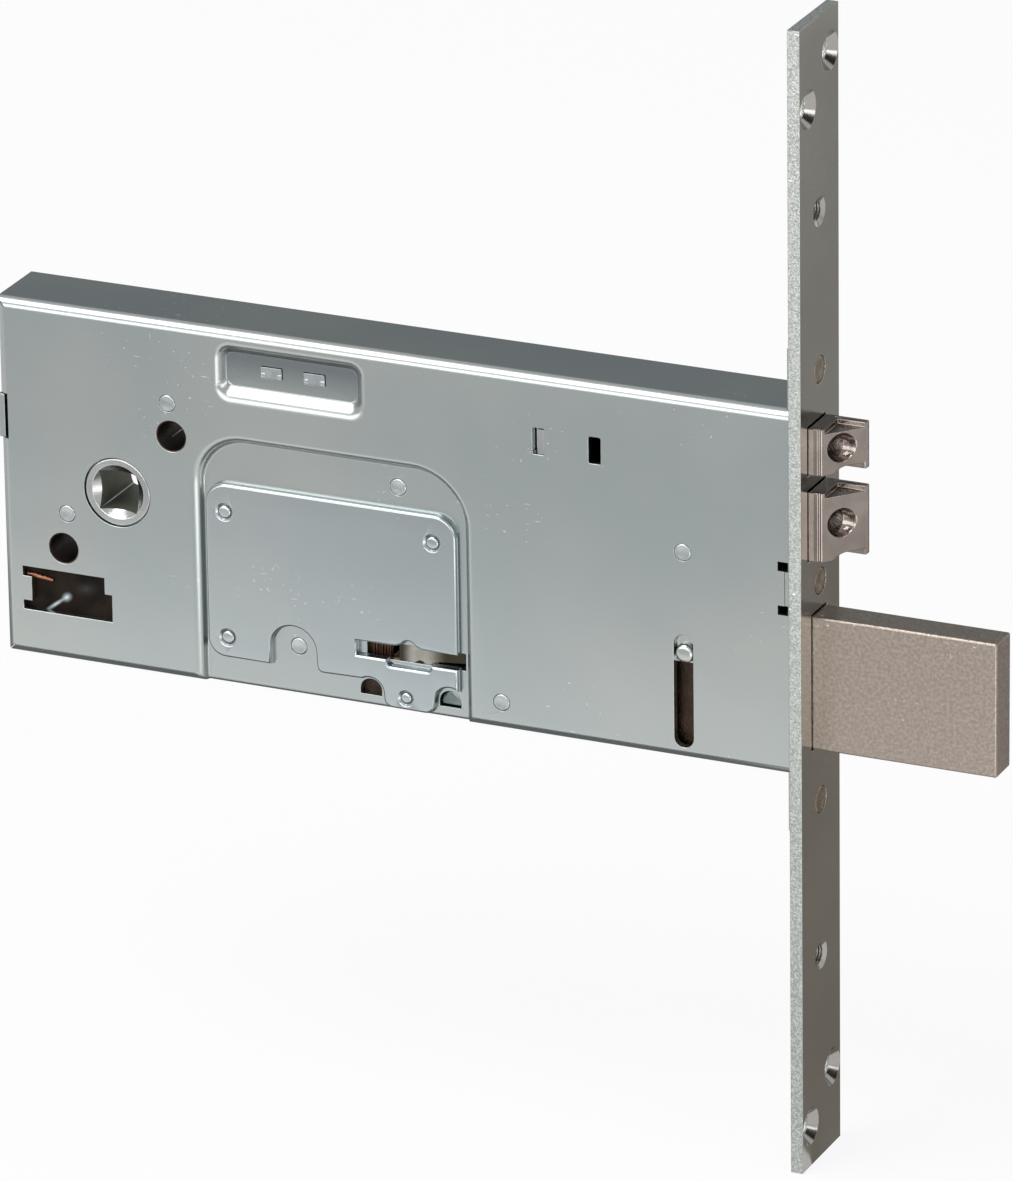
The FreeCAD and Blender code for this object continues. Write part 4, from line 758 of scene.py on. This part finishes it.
def carved(name, blank, tools, edge):
    """The blank's mesh with the tools cut from it and its edges rounded, as a new Skin."""
    objects = []
    for index, skin in enumerate([blank] + tools):
        mesh = bpy.data.meshes.new(name)
        mesh.from_pydata(skin.points, [], skin.faces)
        clean(mesh, 1e-4, flatten=True)
        objects.append(placed(name + str(index), mesh))
    for tool in objects[1:]:
        cut = objects[0].modifiers.new("cut", "BOOLEAN")
        cut.operation = "DIFFERENCE"
        cut.solver = "EXACT"
        cut.object = tool
    if edge:
        soften = objects[0].modifiers.new("edges", "BEVEL")
        soften.width = edge
        soften.segments = 3
        soften.limit_method = "ANGLE"
        soften.angle_limit = math.radians(35)
        soften.use_clamp_overlap = False
    bpy.context.view_layer.update()
    shown = objects[0].evaluated_get(bpy.context.evaluated_depsgraph_get())
    result = bpy.data.meshes.new_from_object(shown)
    done = Skin()
    for vert in result.vertices:
        done.add(vert.co)
    done.faces = [tuple(face.vertices) for face in result.polygons]
    for item in objects:
        bpy.data.objects.remove(item)
    return done


def latch_head(name, low, high, body, node):
    """One latch: collar, bevel, tongue, cuts above and below the bevel, and the dimple."""
    section = [(LATCH_BACK, LATCH_NEAR), (1.05, LATCH_NEAR), (1.2, -5.75), (1.9, -5.75), (1.97, -5.4),
               (2.33, -5.4), (2.4, -5.75), (2.8, -5.65), (8.5, 0.85), (8.9, 1.4)]
    section += arc(8.55, 2.35, 0.45, 0, 90, 3) + [(LATCH_BACK, LATCH_FAR)]
    over, under, middle = high - 0.95, low + 1.3, (low + high) / 2 + 0.45
    tools = [prism([(3.1, -9), (14, -9), (14, TONGUE_Y), (3.1, TONGUE_Y)], over, high + 2),
             prism([(2.2, 1.75), (8.3, 1.75), (8.3, 2.15), (2.2, 2.15)], high - 0.5, high + 2)]
    bite = Skin()
    curve = [(4.1, low - 2), (14, low - 2), (14, under)] + arc(6.4, under - 2.3, 2.3, 90, 180, 6)
    bite.plate(lambda u, v, w: (u, w, v), [(curve, [(0, -9), (0, TONGUE_Y)])])
    bowl = Skin()
    centre, axis = Vector((5.27, -2.8, middle)), Vector((0.97, -0.243, 0))
    bowl.lathe(centre, axis, BOWL, 40)
    head = carved(name, prism(section, low, high), tools + [bite, bowl], 0.16)
    piece = head.make(name, NICKEL, body, "nickel_casting", [node], sharp=60)

    def in_bowl(at, normal):
        depth = (at - centre).dot(axis)
        return depth < -1.15 and (at - centre - axis * depth).length < 2.45

    # painted shade, with debris, on the dimple's deep floor
    second_finish(piece, BOWL_DEBRIS_AND_SHADE, in_bowl)


latch_head("main_latch_casting", 6.7, 20.6, "main_latch", "main_latch_head")
latch_head("loading_latch_casting", 24.1, 33.4, "loading_latch", "loading_latch_head")


# Deadbolt: a slab of nickel-plated sintered steel with a fine sparkle and softly tumbled edges.
# Its rear end is stepped thinner, to make room for the flat tail that is riveted to it.

SINTERED = plated("sintered_nickel", (0.272, 0.230, 0.197), (0.362, 0.310, 0.268), mark=(0.85, 0.82, 0.78),
                  rough=0.295, grain=0.26, grain_size=2400, wave=0.02, marks=1.0, size=1500)
BOLT_END, BOLT_LONG = 37.5, 49.5
BOLT_NEAR, BOLT_FAR, BOLT_LOW, BOLT_HIGH = -4.05, 2.95, -32.5, -5.2
bolt_steps = rolled(0.38, -1, 0, 5) + [(0, BOLT_LONG - 0.1), (-0.1, BOLT_LONG)]
bolt = Skin()
bolt.plate(lambda u, v, w: (BOLT_END - w, u, v),
           [(rounded(BOLT_NEAR, BOLT_FAR, BOLT_LOW, BOLT_HIGH, 0.5, 4), bolt_steps)])
bolt.block((-24.0, BOLT_NEAR + 2, BOLT_LOW + 0.1), (-11.5, BOLT_FAR, BOLT_HIGH - 0.1), 0.3)
bolt.make("deadbolt_slab", SINTERED, "deadbolt", "sintered_nickel", ["deadbolt_head"], sharp=60)


# Follower: a turned hub with an 8 mm square for the handle spindle, dished round the square, and
# an arm inside that pulls the draw bar. The drum between the sheets is notched for the pawl's nose.

BRIGHT = plated("bright_steel", (0.37, 0.385, 0.375), (0.46, 0.47, 0.455), rough=0.20, grain=0.1, wave=0.04,
                marks=0.4, size=120)
HUB_WALL = plated("hub_square_wall", (0.15, 0.157, 0.125), (0.20, 0.20, 0.16), mark=(0.3, 0.29, 0.24),
                  rough=0.42, grain=0.3, marks=0.6, size=260, metallic=0.6)
HUB_LONG, HUB_RING, HUB_DRUM = 15.1, 6.95, 10
face_rows = [(0, 1.5), (3.2, 1.5), (3.9, 1.45), (4.3, 1.1), (5.0, 0.62), (5.45, 0.2), (5.7, 0), (6.55, 0),
             (6.8, 0.05), (HUB_RING, 0.2)]
rows = [(radius, -height) for radius, height in face_rows]
rows += [(HUB_RING, -1.65), (HUB_DRUM, -1.65), (HUB_DRUM, -13.45), (HUB_RING, -13.45)]
rows += [(radius, height - HUB_LONG) for radius, height in face_rows[::-1]]
hub = Skin()
hub.lathe((HUB_X, -7.55, 0), OUTWARD, rows, 64)
square = Skin()
square.plate(on_sheet, [(rounded(HUB_X - 4, HUB_X + 4, -4, 4, 0.22, 3), [(0, -3), (0, 19)])])
notch_loop = arc(HUB_X, 0, 13, -122, -53, 8) + arc(HUB_X, 0, 7.6, -53, -122, 8)
notch = Skin()
notch.plate(on_sheet, [(notch_loop, [(0, 10.95), (0, 13.25)])])
hub = carved("follower_hub", hub, [square, notch], 0)
hub.block((HUB_X - 3, 0.1, 8.5), (HUB_X + 3, 3.1, 17), 0.2)
hub_piece = hub.make("follower_hub", BRIGHT, "follower", "bright_steel", ["follower"], sharp=40)


def on_square(at, normal):
    across, up = abs(at.x - HUB_X), abs(at.z)
    return max(across, up) < 4.01 and min(across, up) < 3.78 and abs(normal.y) < 0.3


second_finish(hub_piece, HUB_WALL, on_square)


# Handle-screw sleeves: two rolled steel tubes between the sheets, dark brown inside, their ends
# pushed into the screw holes. The open seam of the upper one catches the light.

BORE_BROWN = plated("sleeve_brown", (0.030, 0.020, 0.014), (0.060, 0.034, 0.024), mark=(0.2, 0.15, 0.12),
                    rough=0.3, grain=0.5, marks=0.6, size=220, metallic=0.8)
sleeve_rows = [(3.0, -1.35), (3.17, -1.4), (3.17, 0), (4.0, 0), (4.0, 12.5), (3.17, 12.5), (3.17, 13.9),
               (3.0, 13.85), (3.0, -1.35)]
sleeves = Skin()
for x, z in SLEEVES:
    sleeves.lathe((x, FACE_Y + SHEET, z), (0, 1, 0), sleeve_rows, 48)
sleeves.make("sleeve_tubes", BORE_BROWN, "case", "bright_steel", ["screw_sleeves"])
seam = Skin()
x, z = SLEEVES[0]
ends = []
for y in (-2.6, 7.3):
    ring = []
    for radius, turn in ((3.04, 220.6), (2.92, 221.4), (2.92, 225.8), (3.04, 226.6)):
        angle = math.radians(turn)
        ring.append(seam.add((x + radius * math.cos(angle), y, z + radius * math.sin(angle))))
    ends.append(ring)
seam.wall(*ends)
seam.faces += [tuple(ends[0]), tuple(ends[1])]
seam.make("sleeve_seam", BRIGHT, "case", "bright_steel", weighted=False)


# Back sheet: the flat cover of the far side, let in between the flanges and held by the spacer
# rivets. The hub, the key and the handle screws go through it too.

ROTOR_X, ROTOR_Z = -82.1, -24.8
PAWL_POST = (-127.5, -4.0)


def on_back(u, v, w):
    """A point of the far broad side: w inwards from its face."""
    return (u, -FACE_Y - w, v)


def round_keyway():
    """A round bearing hole with the key's slot across it."""
    half, tall, radius = 11.0, 1.5, 5.0
    meet = math.degrees(math.asin(tall / radius))
    loop = [(ROTOR_X + half, ROTOR_Z - tall), (ROTOR_X + half, ROTOR_Z + tall)]
    loop += arc(ROTOR_X, ROTOR_Z, radius, meet, 180 - meet, 16)
    loop += [(ROTOR_X - half, ROTOR_Z + tall), (ROTOR_X - half, ROTOR_Z - tall)]
    return loop + arc(ROTOR_X, ROTOR_Z, radius, 180 + meet, 360 - meet, 16)


cover_cuts = [circle(HUB_X, 0, HUB_HOLE, 64)] + [circle(x, z, SLEEVE_HOLE) for x, z in SLEEVES]
cover_cuts += [circle(x, z, 1.77, 28) for x, z in SMALL_RIVETS + (PAWL_POST,)] + [round_keyway()]
cover_outline = rounded(REAR_X + 1.65, -4.0, -35.35, 35.35, 0.3, 3)
cover_loops = [(cover_outline, rolled(0.15, -1, 0, 3) + [(0, SHEET)])]
cover_loops += [(loop, rolled(HOLE_EDGE, 1, 0, 3) + [(0, SHEET)]) for loop in cover_cuts]
cover = Skin()
cover.plate(on_back, cover_loops)
cover.make("back_sheet", ZINC, "case", "zinc_sheet", ["back_cover"], sharp=50)


# Slider pins: turned steel, riveted into the rod slider. The lower one is seen in the case's long
# slot; the other runs in the slanted slot of the bolt's tail.

pins = Skin()
seen_pin = [(0, 0), (1.0, -0.02), (1.45, -0.1), (1.72, -0.26), (1.88, -0.5), (1.92, -0.8), (1.92, -2.7),
            (0, -2.7)]
pins.lathe((SLOT_X, -7.6, -15.5), OUTWARD, seen_pin, 36)
tail_pin = [(0, 3.7), (1.55, 3.7), (1.75, 3.5), (1.75, 0.15), (1.6, 0), (0, 0)]
pins.lathe((-60.0, -2.4, -2.0), OUTWARD, tail_pin, 28)
pins.make("slider_pin_ends", BRIGHT, "rod_slider", "bright_steel", ["slider_pins"])


# Bar guide: a milled steel block under the pressed pad. Its two tenons go through the pad's floor
# and are staked over there, and the draw bar slides between its lips.

GUIDE_LEFT, GUIDE_RIGHT, GUIDE_FOOT, GUIDE_HEAD, GUIDE_FLOOR = -115.3, -96.9, 19.3, 30.2, 1.3
guide = Skin()
guide.block((GUIDE_LEFT, -4.25, GUIDE_FOOT), (GUIDE_RIGHT, GUIDE_FLOOR, GUIDE_HEAD), 0.3)
for low, high in ((GUIDE_HEAD - 2.4, GUIDE_HEAD), (GUIDE_FOOT, GUIDE_FOOT + 2.4)):
    guide.block((GUIDE_LEFT, GUIDE_FLOOR - 0.1, low), (GUIDE_RIGHT, 3.1, high), 0.2)
for x, z in TENONS:
    guide.block((x - 2.2, -5.86, z - 1.12), (x + 2.2, -4.2, z + 1.12), 0.06)
    guide.block((x - 2.2, -6.0, z + 0.45), (x + 2.2, -5.8, z + 1.12), 0.07)
    guide.block((x - 0.5, -6.0, z - 1.05), (x + 0.5, -5.8, z + 0.6), 0.07)
    for side in (-1.75, 1.75):
        guide.block((x + side - 0.45, -5.98, z - 1.05), (x + side + 0.45, -5.8, z - 0.1), 0.07)
guide.block((-55.7, -6.15, 20.6), (-53.7, -5.75, 26.6), 0.15)
guide.make("bar_guide_block", RIVET_ZINC, "case", "bright_steel", ["bar_guide"])


# Key wards: a comb of thin brown steel leaves beside the key drum, seen edge on through the
# keyhole's left arm. Dark brown liners lie behind the left half hole and the long slot.

LEAF_BROWN = plated("leaf_brown", (0.11, 0.055, 0.036), (0.22, 0.13, 0.09), mark=(0.4, 0.3, 0.22), rough=0.35,
                    grain=0.4, marks=0.6, size=600, metallic=0.8)
LEAVES = 13
comb = Skin()
comb.block((-95.5, -3.6, -28.2), (-87.8, -3.2, -22.7), 0.05)
for i in range(LEAVES):
    x = -95.2 + 0.58 * i
    comb.block((x, -4.2 + 0.12 * (i % 3), -28.0), (x + 0.26, -3.5, -22.9), 0.04)
comb.make("ward_comb", LEAF_BROWN, "case", "lever_brass")
liners = Skin()
liners.block((-95.0, -4.1, -36.2), (-88.2, -3.7, -30.5), 0.05)
liners.block((SLOT_X - 5.5, -4.8, -36.0), (SLOT_X + 5.5, -4.4, -12.0), 0.1)
liners.make("dark_brown_liners", BORE_BROWN, "case", "bright_steel")


# Key guide: a curved steel lip behind the right half of the keyhole. Its foot is cut in a wave
# that wards the key. Its colour is painted darker at both ends as shade: on the right, where it
# runs in under the sheet, and on the left.

GUIDE_STEEL = plated("key_guide_steel", (0.30, 0.29, 0.25), (0.38, 0.37, 0.33), rough=0.25, grain=0.2,
                     marks=0.6, size=400)
tree, x, y, z = place_of(GUIDE_STEEL)
# painted shade: the lip's colour darkens towards both of its ends
right_shade = ramp(tree, x, (KEY_X + 2.5) / 1000, (KEY_X + 7.5) / 1000)
left_lit = ramp(tree, x, (KEY_X - 2.2) / 1000, (KEY_X + 0.8) / 1000)
dark = maths(tree, "MAXIMUM", right_shade, maths(tree, "SUBTRACT", 1.0, left_lit))
tinted(GUIDE_STEEL, dark, (0.045, 0.04, 0.028))
WAVE = ((-2.6, -2.0), (-1.9, -2.05), (-0.8, -2.1), (0.3, -2.05), (1.0, -1.55), (1.7, -1.15), (2.4, -1.3),
        (3.2, -1.8), (3.9, -1.85), (4.6, -1.25), (6.0, -0.95), (8.5, -0.75), (11.3, -0.55))
lip = Skin()
sides = []
for inner in (0.0, 0.08):
    foot, head = [], []
    for u, v in WAVE:
        y = -5.7 + 0.004 * (u - 3) ** 2 + inner
        foot.append(lip.add((KEY_X + u, y, KEY_Z + v)))
        head.append(lip.add((KEY_X + u, y, KEY_Z + 1.75)))
    sides.append((foot, head))
(foot, head), (foot_in, head_in) = sides
for first, second in ((foot, head), (foot_in, head_in), (foot, foot_in), (head, head_in)):
    lip.wall(first, second, closed=False)
for i in (0, -1):
    lip.faces.append((foot[i], foot_in[i], head_in[i], head[i]))
lip.make("key_guide_lip", GUIDE_STEEL, "case", "bright_steel", sharp=30)


# Insulating film: black-brown film folded over the coil and its terminals behind the wiring
# opening. Its crumpled fold runs slantwise, and its shine is painted highlight: bright patches in
# the film's colour. The coil's varnished lead shows at the top.

FILM = plated("black_film", (0.012, 0.010, 0.009), (0.024, 0.018, 0.014), mark=(0.05, 0.045, 0.04),
              rough=0.5, grain=0.3, marks=0.5, size=200)
FOLD_LOW, FOLD_HIGH = Vector((-162.6, -28.6)), Vector((-156.4, -24.0))
FOLD_WAY = (FOLD_HIGH - FOLD_LOW).normalized()
# painted highlights, bright patches in the film's colour: place, turn, length, width and strength
PAINTED_GLINTS = ((-156.7, -24.3, 0.65, 1.7, 1.25, 1.0), (-159.2, -26.1, 0.65, 4.6, 0.6, 1.0),
          (-152.5, -22.0, 0.3, 3.5, 2.2, 0.05))
tree = FILM.node_tree
painted_glints = []
for x, z, turn, long, wide, strength in PAINTED_GLINTS:
    mapping = tree.nodes.new("ShaderNodeMapping")
    mapping.vector_type = "TEXTURE"
    mapping.inputs["Location"].default_value = (x / 1000, -0.006, z / 1000)
    mapping.inputs["Rotation"].default_value = (0, -turn, 0)
    mapping.inputs["Scale"].default_value = (long / 1000, 0.004, wide / 1000)
    wire(tree, tree.nodes["Texture Coordinate"].outputs["Object"], mapping.inputs["Vector"])
    blob = tree.nodes.new("ShaderNodeTexGradient")
    blob.gradient_type = "QUADRATIC_SPHERE"
    wire(tree, mapping.outputs["Vector"], blob.inputs["Vector"])
    painted_glints.append(maths(tree, "MULTIPLY", blob.outputs["Fac"], strength))
# the painted highlights lighten the film's base colour
painted_shine = maths(tree, "ADD", maths(tree, "ADD", painted_glints[0], painted_glints[1]), painted_glints[2])
tinted(FILM, maths(tree, "MINIMUM", painted_shine, 1.0), (0.62, 0.70, 0.74))
FILM_LEFT, FILM_WIDE, FILM_FOOT, FILM_TALL, FILM_THICK = -166.6, 22.2, -29.4, 12.2, 0.12
ACROSS, UP = 60, 36


def film_depth(x, z):
    """The film's y: a soft fold along the slanting line, sagging away on both sides."""
    away = Vector((x, z)) - FOLD_LOW
    along = away.dot(FOLD_WAY) / (FOLD_HIGH - FOLD_LOW).length
    side = away.x * FOLD_WAY.y - away.y * FOLD_WAY.x
    fade = 1 / (1 + max(0.0, along - 1) ** 2 * 6)
    return -6.1 - 0.1 * fade * math.exp(-side * side / 1.6)


film = Skin()
layers = []
for thick in (0.0, FILM_THICK):
    layer = []
    for row in range(UP + 1):
        for column in range(ACROSS + 1):
            x = FILM_LEFT + FILM_WIDE * column / ACROSS
            z = FILM_FOOT + FILM_TALL * row / UP
            layer.append(film.add((x, film_depth(x, z) + thick, z)))
    layers.append(layer)
wide = ACROSS + 1
for layer in layers:
    for row in range(UP):
        for column in range(ACROSS):
            corner = row * wide + column
            film.faces.append(tuple(layer[corner + i] for i in (0, 1, wide + 1, wide)))
rim = list(range(wide)) + [row * wide + ACROSS for row in range(1, UP + 1)]
rim += [UP * wide + column for column in range(ACROSS - 1, -1, -1)]
rim += [row * wide for row in range(UP - 1, 0, -1)]
film.wall([layers[0][i] for i in rim], [layers[1][i] for i in rim])
film.make("insulating_film", FILM, "case", "black_plastic", weighted=False)
COPPER = plated("varnished_copper", (0.17, 0.065, 0.035), (0.30, 0.13, 0.075), mark=(0.7, 0.45, 0.35),
                rough=0.22, grain=0.6, grain_size=2600, marks=0.6, size=500)
lead = Skin()
lead_rows = [(0, 0), (0.42, 0.15), (0.5, 1.2), (0.62, 2.6), (0.5, 4.2), (0.4, 5.6), (0, 6.0)]
lead.lathe((-165.2, -6.15, -20.35), (1, 0, -0.14), lead_rows, 20)
lead.make("coil_lead_end", COPPER, "case", "copper")


# Return springs: coils of spring-steel wire behind each latch, the draw bar and the plunger. Each
# is held at its left end.

SPRING = plated("spring_wire", (0.20, 0.19, 0.18), (0.27, 0.26, 0.245), rough=0.25, grain=0.4,
                marks=0.4, size=400)
STEPS_PER_TURN, WIRE_SIDES = 20, 8


def coil_spring(name, y, z, radius, wire_size, turns, x0, x1):
    """A helical spring from x0 to x1, in millimetres."""
    coil = Skin()
    steps = round(turns * STEPS_PER_TURN)
    half = wire_size / 2
    rings = []
    for step in range(steps + 1):
        turn = 2 * math.pi * step / STEPS_PER_TURN
        out = Vector((0, math.cos(turn), math.sin(turn)))
        middle = Vector((x0 + half + (x1 - x0 - wire_size) * step / steps, y, z)) + out * radius
        ring = []
        for side in range(WIRE_SIDES):
            round_wire = 2 * math.pi * side / WIRE_SIDES
            aside = Vector((half * math.sin(round_wire), 0, 0))
            ring.append(coil.add(middle + out * (half * math.cos(round_wire)) + aside))
        rings.append(ring)
    for first, second in zip(rings, rings[1:]):
        coil.wall(first, second)
    coil.faces += [tuple(rings[0]), tuple(rings[-1])]
    piece = coil.make(name + "_coil", SPRING, "case", "spring_steel", [name], weighted=False)
    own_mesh(piece)


coil_spring("main_latch_spring", -1.25, 13.05, 2.9, 0.8, 7, -27.45, -9.55)
coil_spring("loading_latch_spring", -1.25, 28.15, 2.9, 0.8, 7, -27.45, -9.55)
coil_spring("draw_bar_spring", 2.35, 14.5, 2.0, 0.5, 8, -167.97, -151.63)
coil_spring("plunger_spring", 0.0, -27.0, 2.7, 0.4, 2.5, -134.97, -131.03)


# Inner parts that keep their CAD shape: the plated bars and guides, the stems, the levers, the key
# drum, the coil with its yoke and the terminals. Each gets the finish of its own material.

LEVER_BRASS = plated("lever_brass", (0.52, 0.37, 0.16), (0.60, 0.45, 0.23), mark=(0.8, 0.7, 0.5), rough=0.3,
                     grain=0.3, marks=0.8, size=80)
DRUM = plated("drum_bronze", (0.14, 0.10, 0.06), (0.21, 0.155, 0.10), mark=(0.45, 0.36, 0.26), rough=0.33,
              grain=0.4, marks=0.7, size=160)
BLACK = plated("black_moulding", (0.020, 0.020, 0.021), (0.034, 0.034, 0.035), mark=(0.09, 0.09, 0.09),
               rough=0.45, grain=0.5, marks=0.4, size=220, metallic=0.0)
FINISHES = (
    (ZINC, ("latch_guide", "draw_bar", "magnet_yoke")),
    (BRIGHT, ("rod_slider", "bar_rest", "deadbolt_tail", "deadbolt_stump", "deadbolt_rivets",
              "main_latch_stem", "loading_latch_stem", "plunger", "locking_pawl", "pawl_post")),
    (LEVER_BRASS, ("tumbler_lever_1", "tumbler_lever_2", "tumbler_lever_3", "tumbler_lever_4",
                   "terminal_screws")),
    (DRUM, ("key_rotor",)),
    (COPPER, ("coil_winding",)),
    (BLACK, ("coil_bobbin", "terminal_block")),
)
for material, names in FINISHES:
    for name in names:
        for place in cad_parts[name].material_slots:
            place.material = material


# Studio: a long lens at the photograph's angle, a large softbox above and in front of the lock
# and a weaker one from the right. The floor is white paper. Cards that only reflections see give
# the bends their white lines and the top, the faceplate's front and the bolt's end their darks.

AZIMUTH, ELEVATION, ROLL = math.radians(24.4828), math.radians(21.8193), math.radians(-0.844)
AWAY, ASIDE, ABOVE = 1.95, -0.05715, -0.00168
camera = bpy.data.cameras.new("camera")
camera.lens = 314.26
camera.sensor_width = 36
camera.sensor_fit = "AUTO"
camera.clip_start, camera.clip_end = 0.1, 50
camera_object = placed("camera", camera)
forward = math.cos(ELEVATION)
back = Vector((math.sin(AZIMUTH) * forward, -math.cos(AZIMUTH) * forward, math.sin(ELEVATION)))
level = Vector((math.cos(AZIMUTH), math.sin(AZIMUTH), 0))
upright = back.cross(level)
right = level * math.cos(ROLL) + upright * math.sin(ROLL)
up = upright * math.cos(ROLL) - level * math.sin(ROLL)
turned = Matrix((right, up, back)).transposed().to_4x4()
turned.translation = Vector((FRONT_X / 1000, 0, 0)) + back * AWAY + right * ASIDE + up * ABOVE
camera_object.matrix_world = turned
bpy.context.scene.camera = camera_object


def softbox(name, place, look, wide, tall, power):
    lamp = bpy.data.lights.new(name, "AREA")
    lamp.shape = "RECTANGLE"
    lamp.size, lamp.size_y = wide, tall
    lamp.energy = power
    lamp_object = placed(name, lamp)
    lamp_object.location = place
    lamp_object.rotation_euler = (Vector(look) - Vector(place)).to_track_quat("-Z", "Y").to_euler()


softbox("softbox_above", (-0.75, -0.75, 1.55), (-0.08, 0, 0), 1.5, 1.1, 22)
softbox("softbox_right", (1.6, -0.6, 0.7), (0, 0, 0), 0.9, 0.9, 6)


def shown_rays(tree):
    """1 for what the camera sees directly, in a reflection or through glass."""
    rays = tree.nodes.new("ShaderNodeLightPath")
    shown = maths(tree, "MAXIMUM", rays.outputs["Is Camera Ray"], rays.outputs["Is Glossy Ray"])
    return maths(tree, "MAXIMUM", shown, rays.outputs["Is Transmission Ray"])


def shared_out(tree, share, first, second, end):
    """Sends a blend of two shaders to the tree's own end node."""
    mix = tree.nodes.new("ShaderNodeMixShader")
    for start, socket in zip((share, first.outputs[0], second.outputs[0]), mix.inputs):
        wire(tree, start, socket)
    wire(tree, mix.outputs[0], tree.nodes[end].inputs["Surface"])


def glowing(tree, colour, strength):
    light = tree.nodes.new("ShaderNodeEmission")
    light.inputs["Color"].default_value = (*colour, 1)
    light.inputs["Strength"].default_value = strength
    return light


def four_cornered(name, corners):
    """A flat object of the studio and its new material."""
    mesh = bpy.data.meshes.new(name)
    mesh.from_pydata(corners, [], [(0, 1, 2, 3)])
    material = bpy.data.materials.new(name)
    material.use_nodes = True
    mesh.materials.append(material)
    return placed(name, mesh), material.node_tree


FLOOR_Z = -0.1192
WHITE = (1, 1, 1)


def flat(corners, over=0.0):
    return [(x, y, FLOOR_Z + over) for x, y in corners]


def lying(x0, x1, y0, y1, over=0.0):
    return flat([(x0, y0), (x1, y0), (x1, y1), (x0, y1)], over)


floor, tree = four_cornered("floor", lying(-9, 9, -9, 9))
shader = tree.nodes["Principled BSDF"]
shader.inputs["Base Color"].default_value = (0.93, 0.93, 0.93, 1)
shader.inputs["Roughness"].default_value = 0.9
seen = maths(tree, "MULTIPLY", shown_rays(tree), 0.88)
shared_out(tree, seen, shader, glowing(tree, WHITE, 1.0), "Material Output")


def card(name, corners, colour, strength=1.0):
    """A card that only reflections see."""
    piece, tree = four_cornered(name, corners)
    piece.visible_camera = False
    piece.visible_shadow = False
    piece.visible_diffuse = False
    wire(tree, glowing(tree, colour, strength).outputs[0], tree.nodes["Material Output"].inputs["Surface"])


# the grey, front and dark cards stand; the others lie a hair above the floor
card("grey_card", [(-2.3, 0.9, 0.05), (1.3, 2.1, 0.05), (1.13, 2.6, 1.67), (-2.47, 1.4, 1.67)],
     (0.27, 0.29, 0.30))
card("front_card", [(-1.5, -1.05, -0.01), (0.25, -1.05, -0.01), (0.25, -1.25, 0.6), (-1.5, -1.25, 0.6)],
     WHITE, 3.4)
card("far_floor_card", lying(-0.7, 0.02, -0.48, -0.275, 0.0001), (0.68, 0.69, 0.70))
card("near_floor_card", lying(-0.45, 0.02, -0.215, -0.1, 0.0001), WHITE, 1.35)
card("right_card", lying(0.03, 0.3, -0.65, -0.15, 0.0004), WHITE, 3.0)
card("foot_card", lying(-0.42, -0.04, -0.085, 0.35, 0.0002), (0.24, 0.25, 0.25))
card("side_card", flat([(-0.04, -0.03), (0.0, -0.005), (0.24, 0.32), (-0.04, 0.32)], 0.0003),
     (0.285, 0.265, 0.235))
card("far_side_card", flat([(-0.04, 0.32), (0.24, 0.32), (0.45, 0.6), (-0.04, 0.95)], 0.0003),
     (0.39, 0.385, 0.36))
card("dark_card", [(1.4, -0.35, 0.2), (1.4, 0.9, 0.2), (1.4, 0.9, 1.7), (1.4, -0.35, 1.7)],
     (0.03, 0.027, 0.025))

world = bpy.data.worlds.new("studio")
bpy.context.scene.world = world
world.use_nodes = True
tree = world.node_tree
soft = tree.nodes["Background"]
soft.inputs["Color"].default_value = (0.96, 0.98, 1, 1)
soft.inputs["Strength"].default_value = 0.45
bright = tree.nodes.new("ShaderNodeBackground")
bright.inputs["Strength"].default_value = 1.0
shared_out(tree, shown_rays(tree), soft, bright, "World Output")
bpy.context.scene.view_settings.view_transform = "Standard"
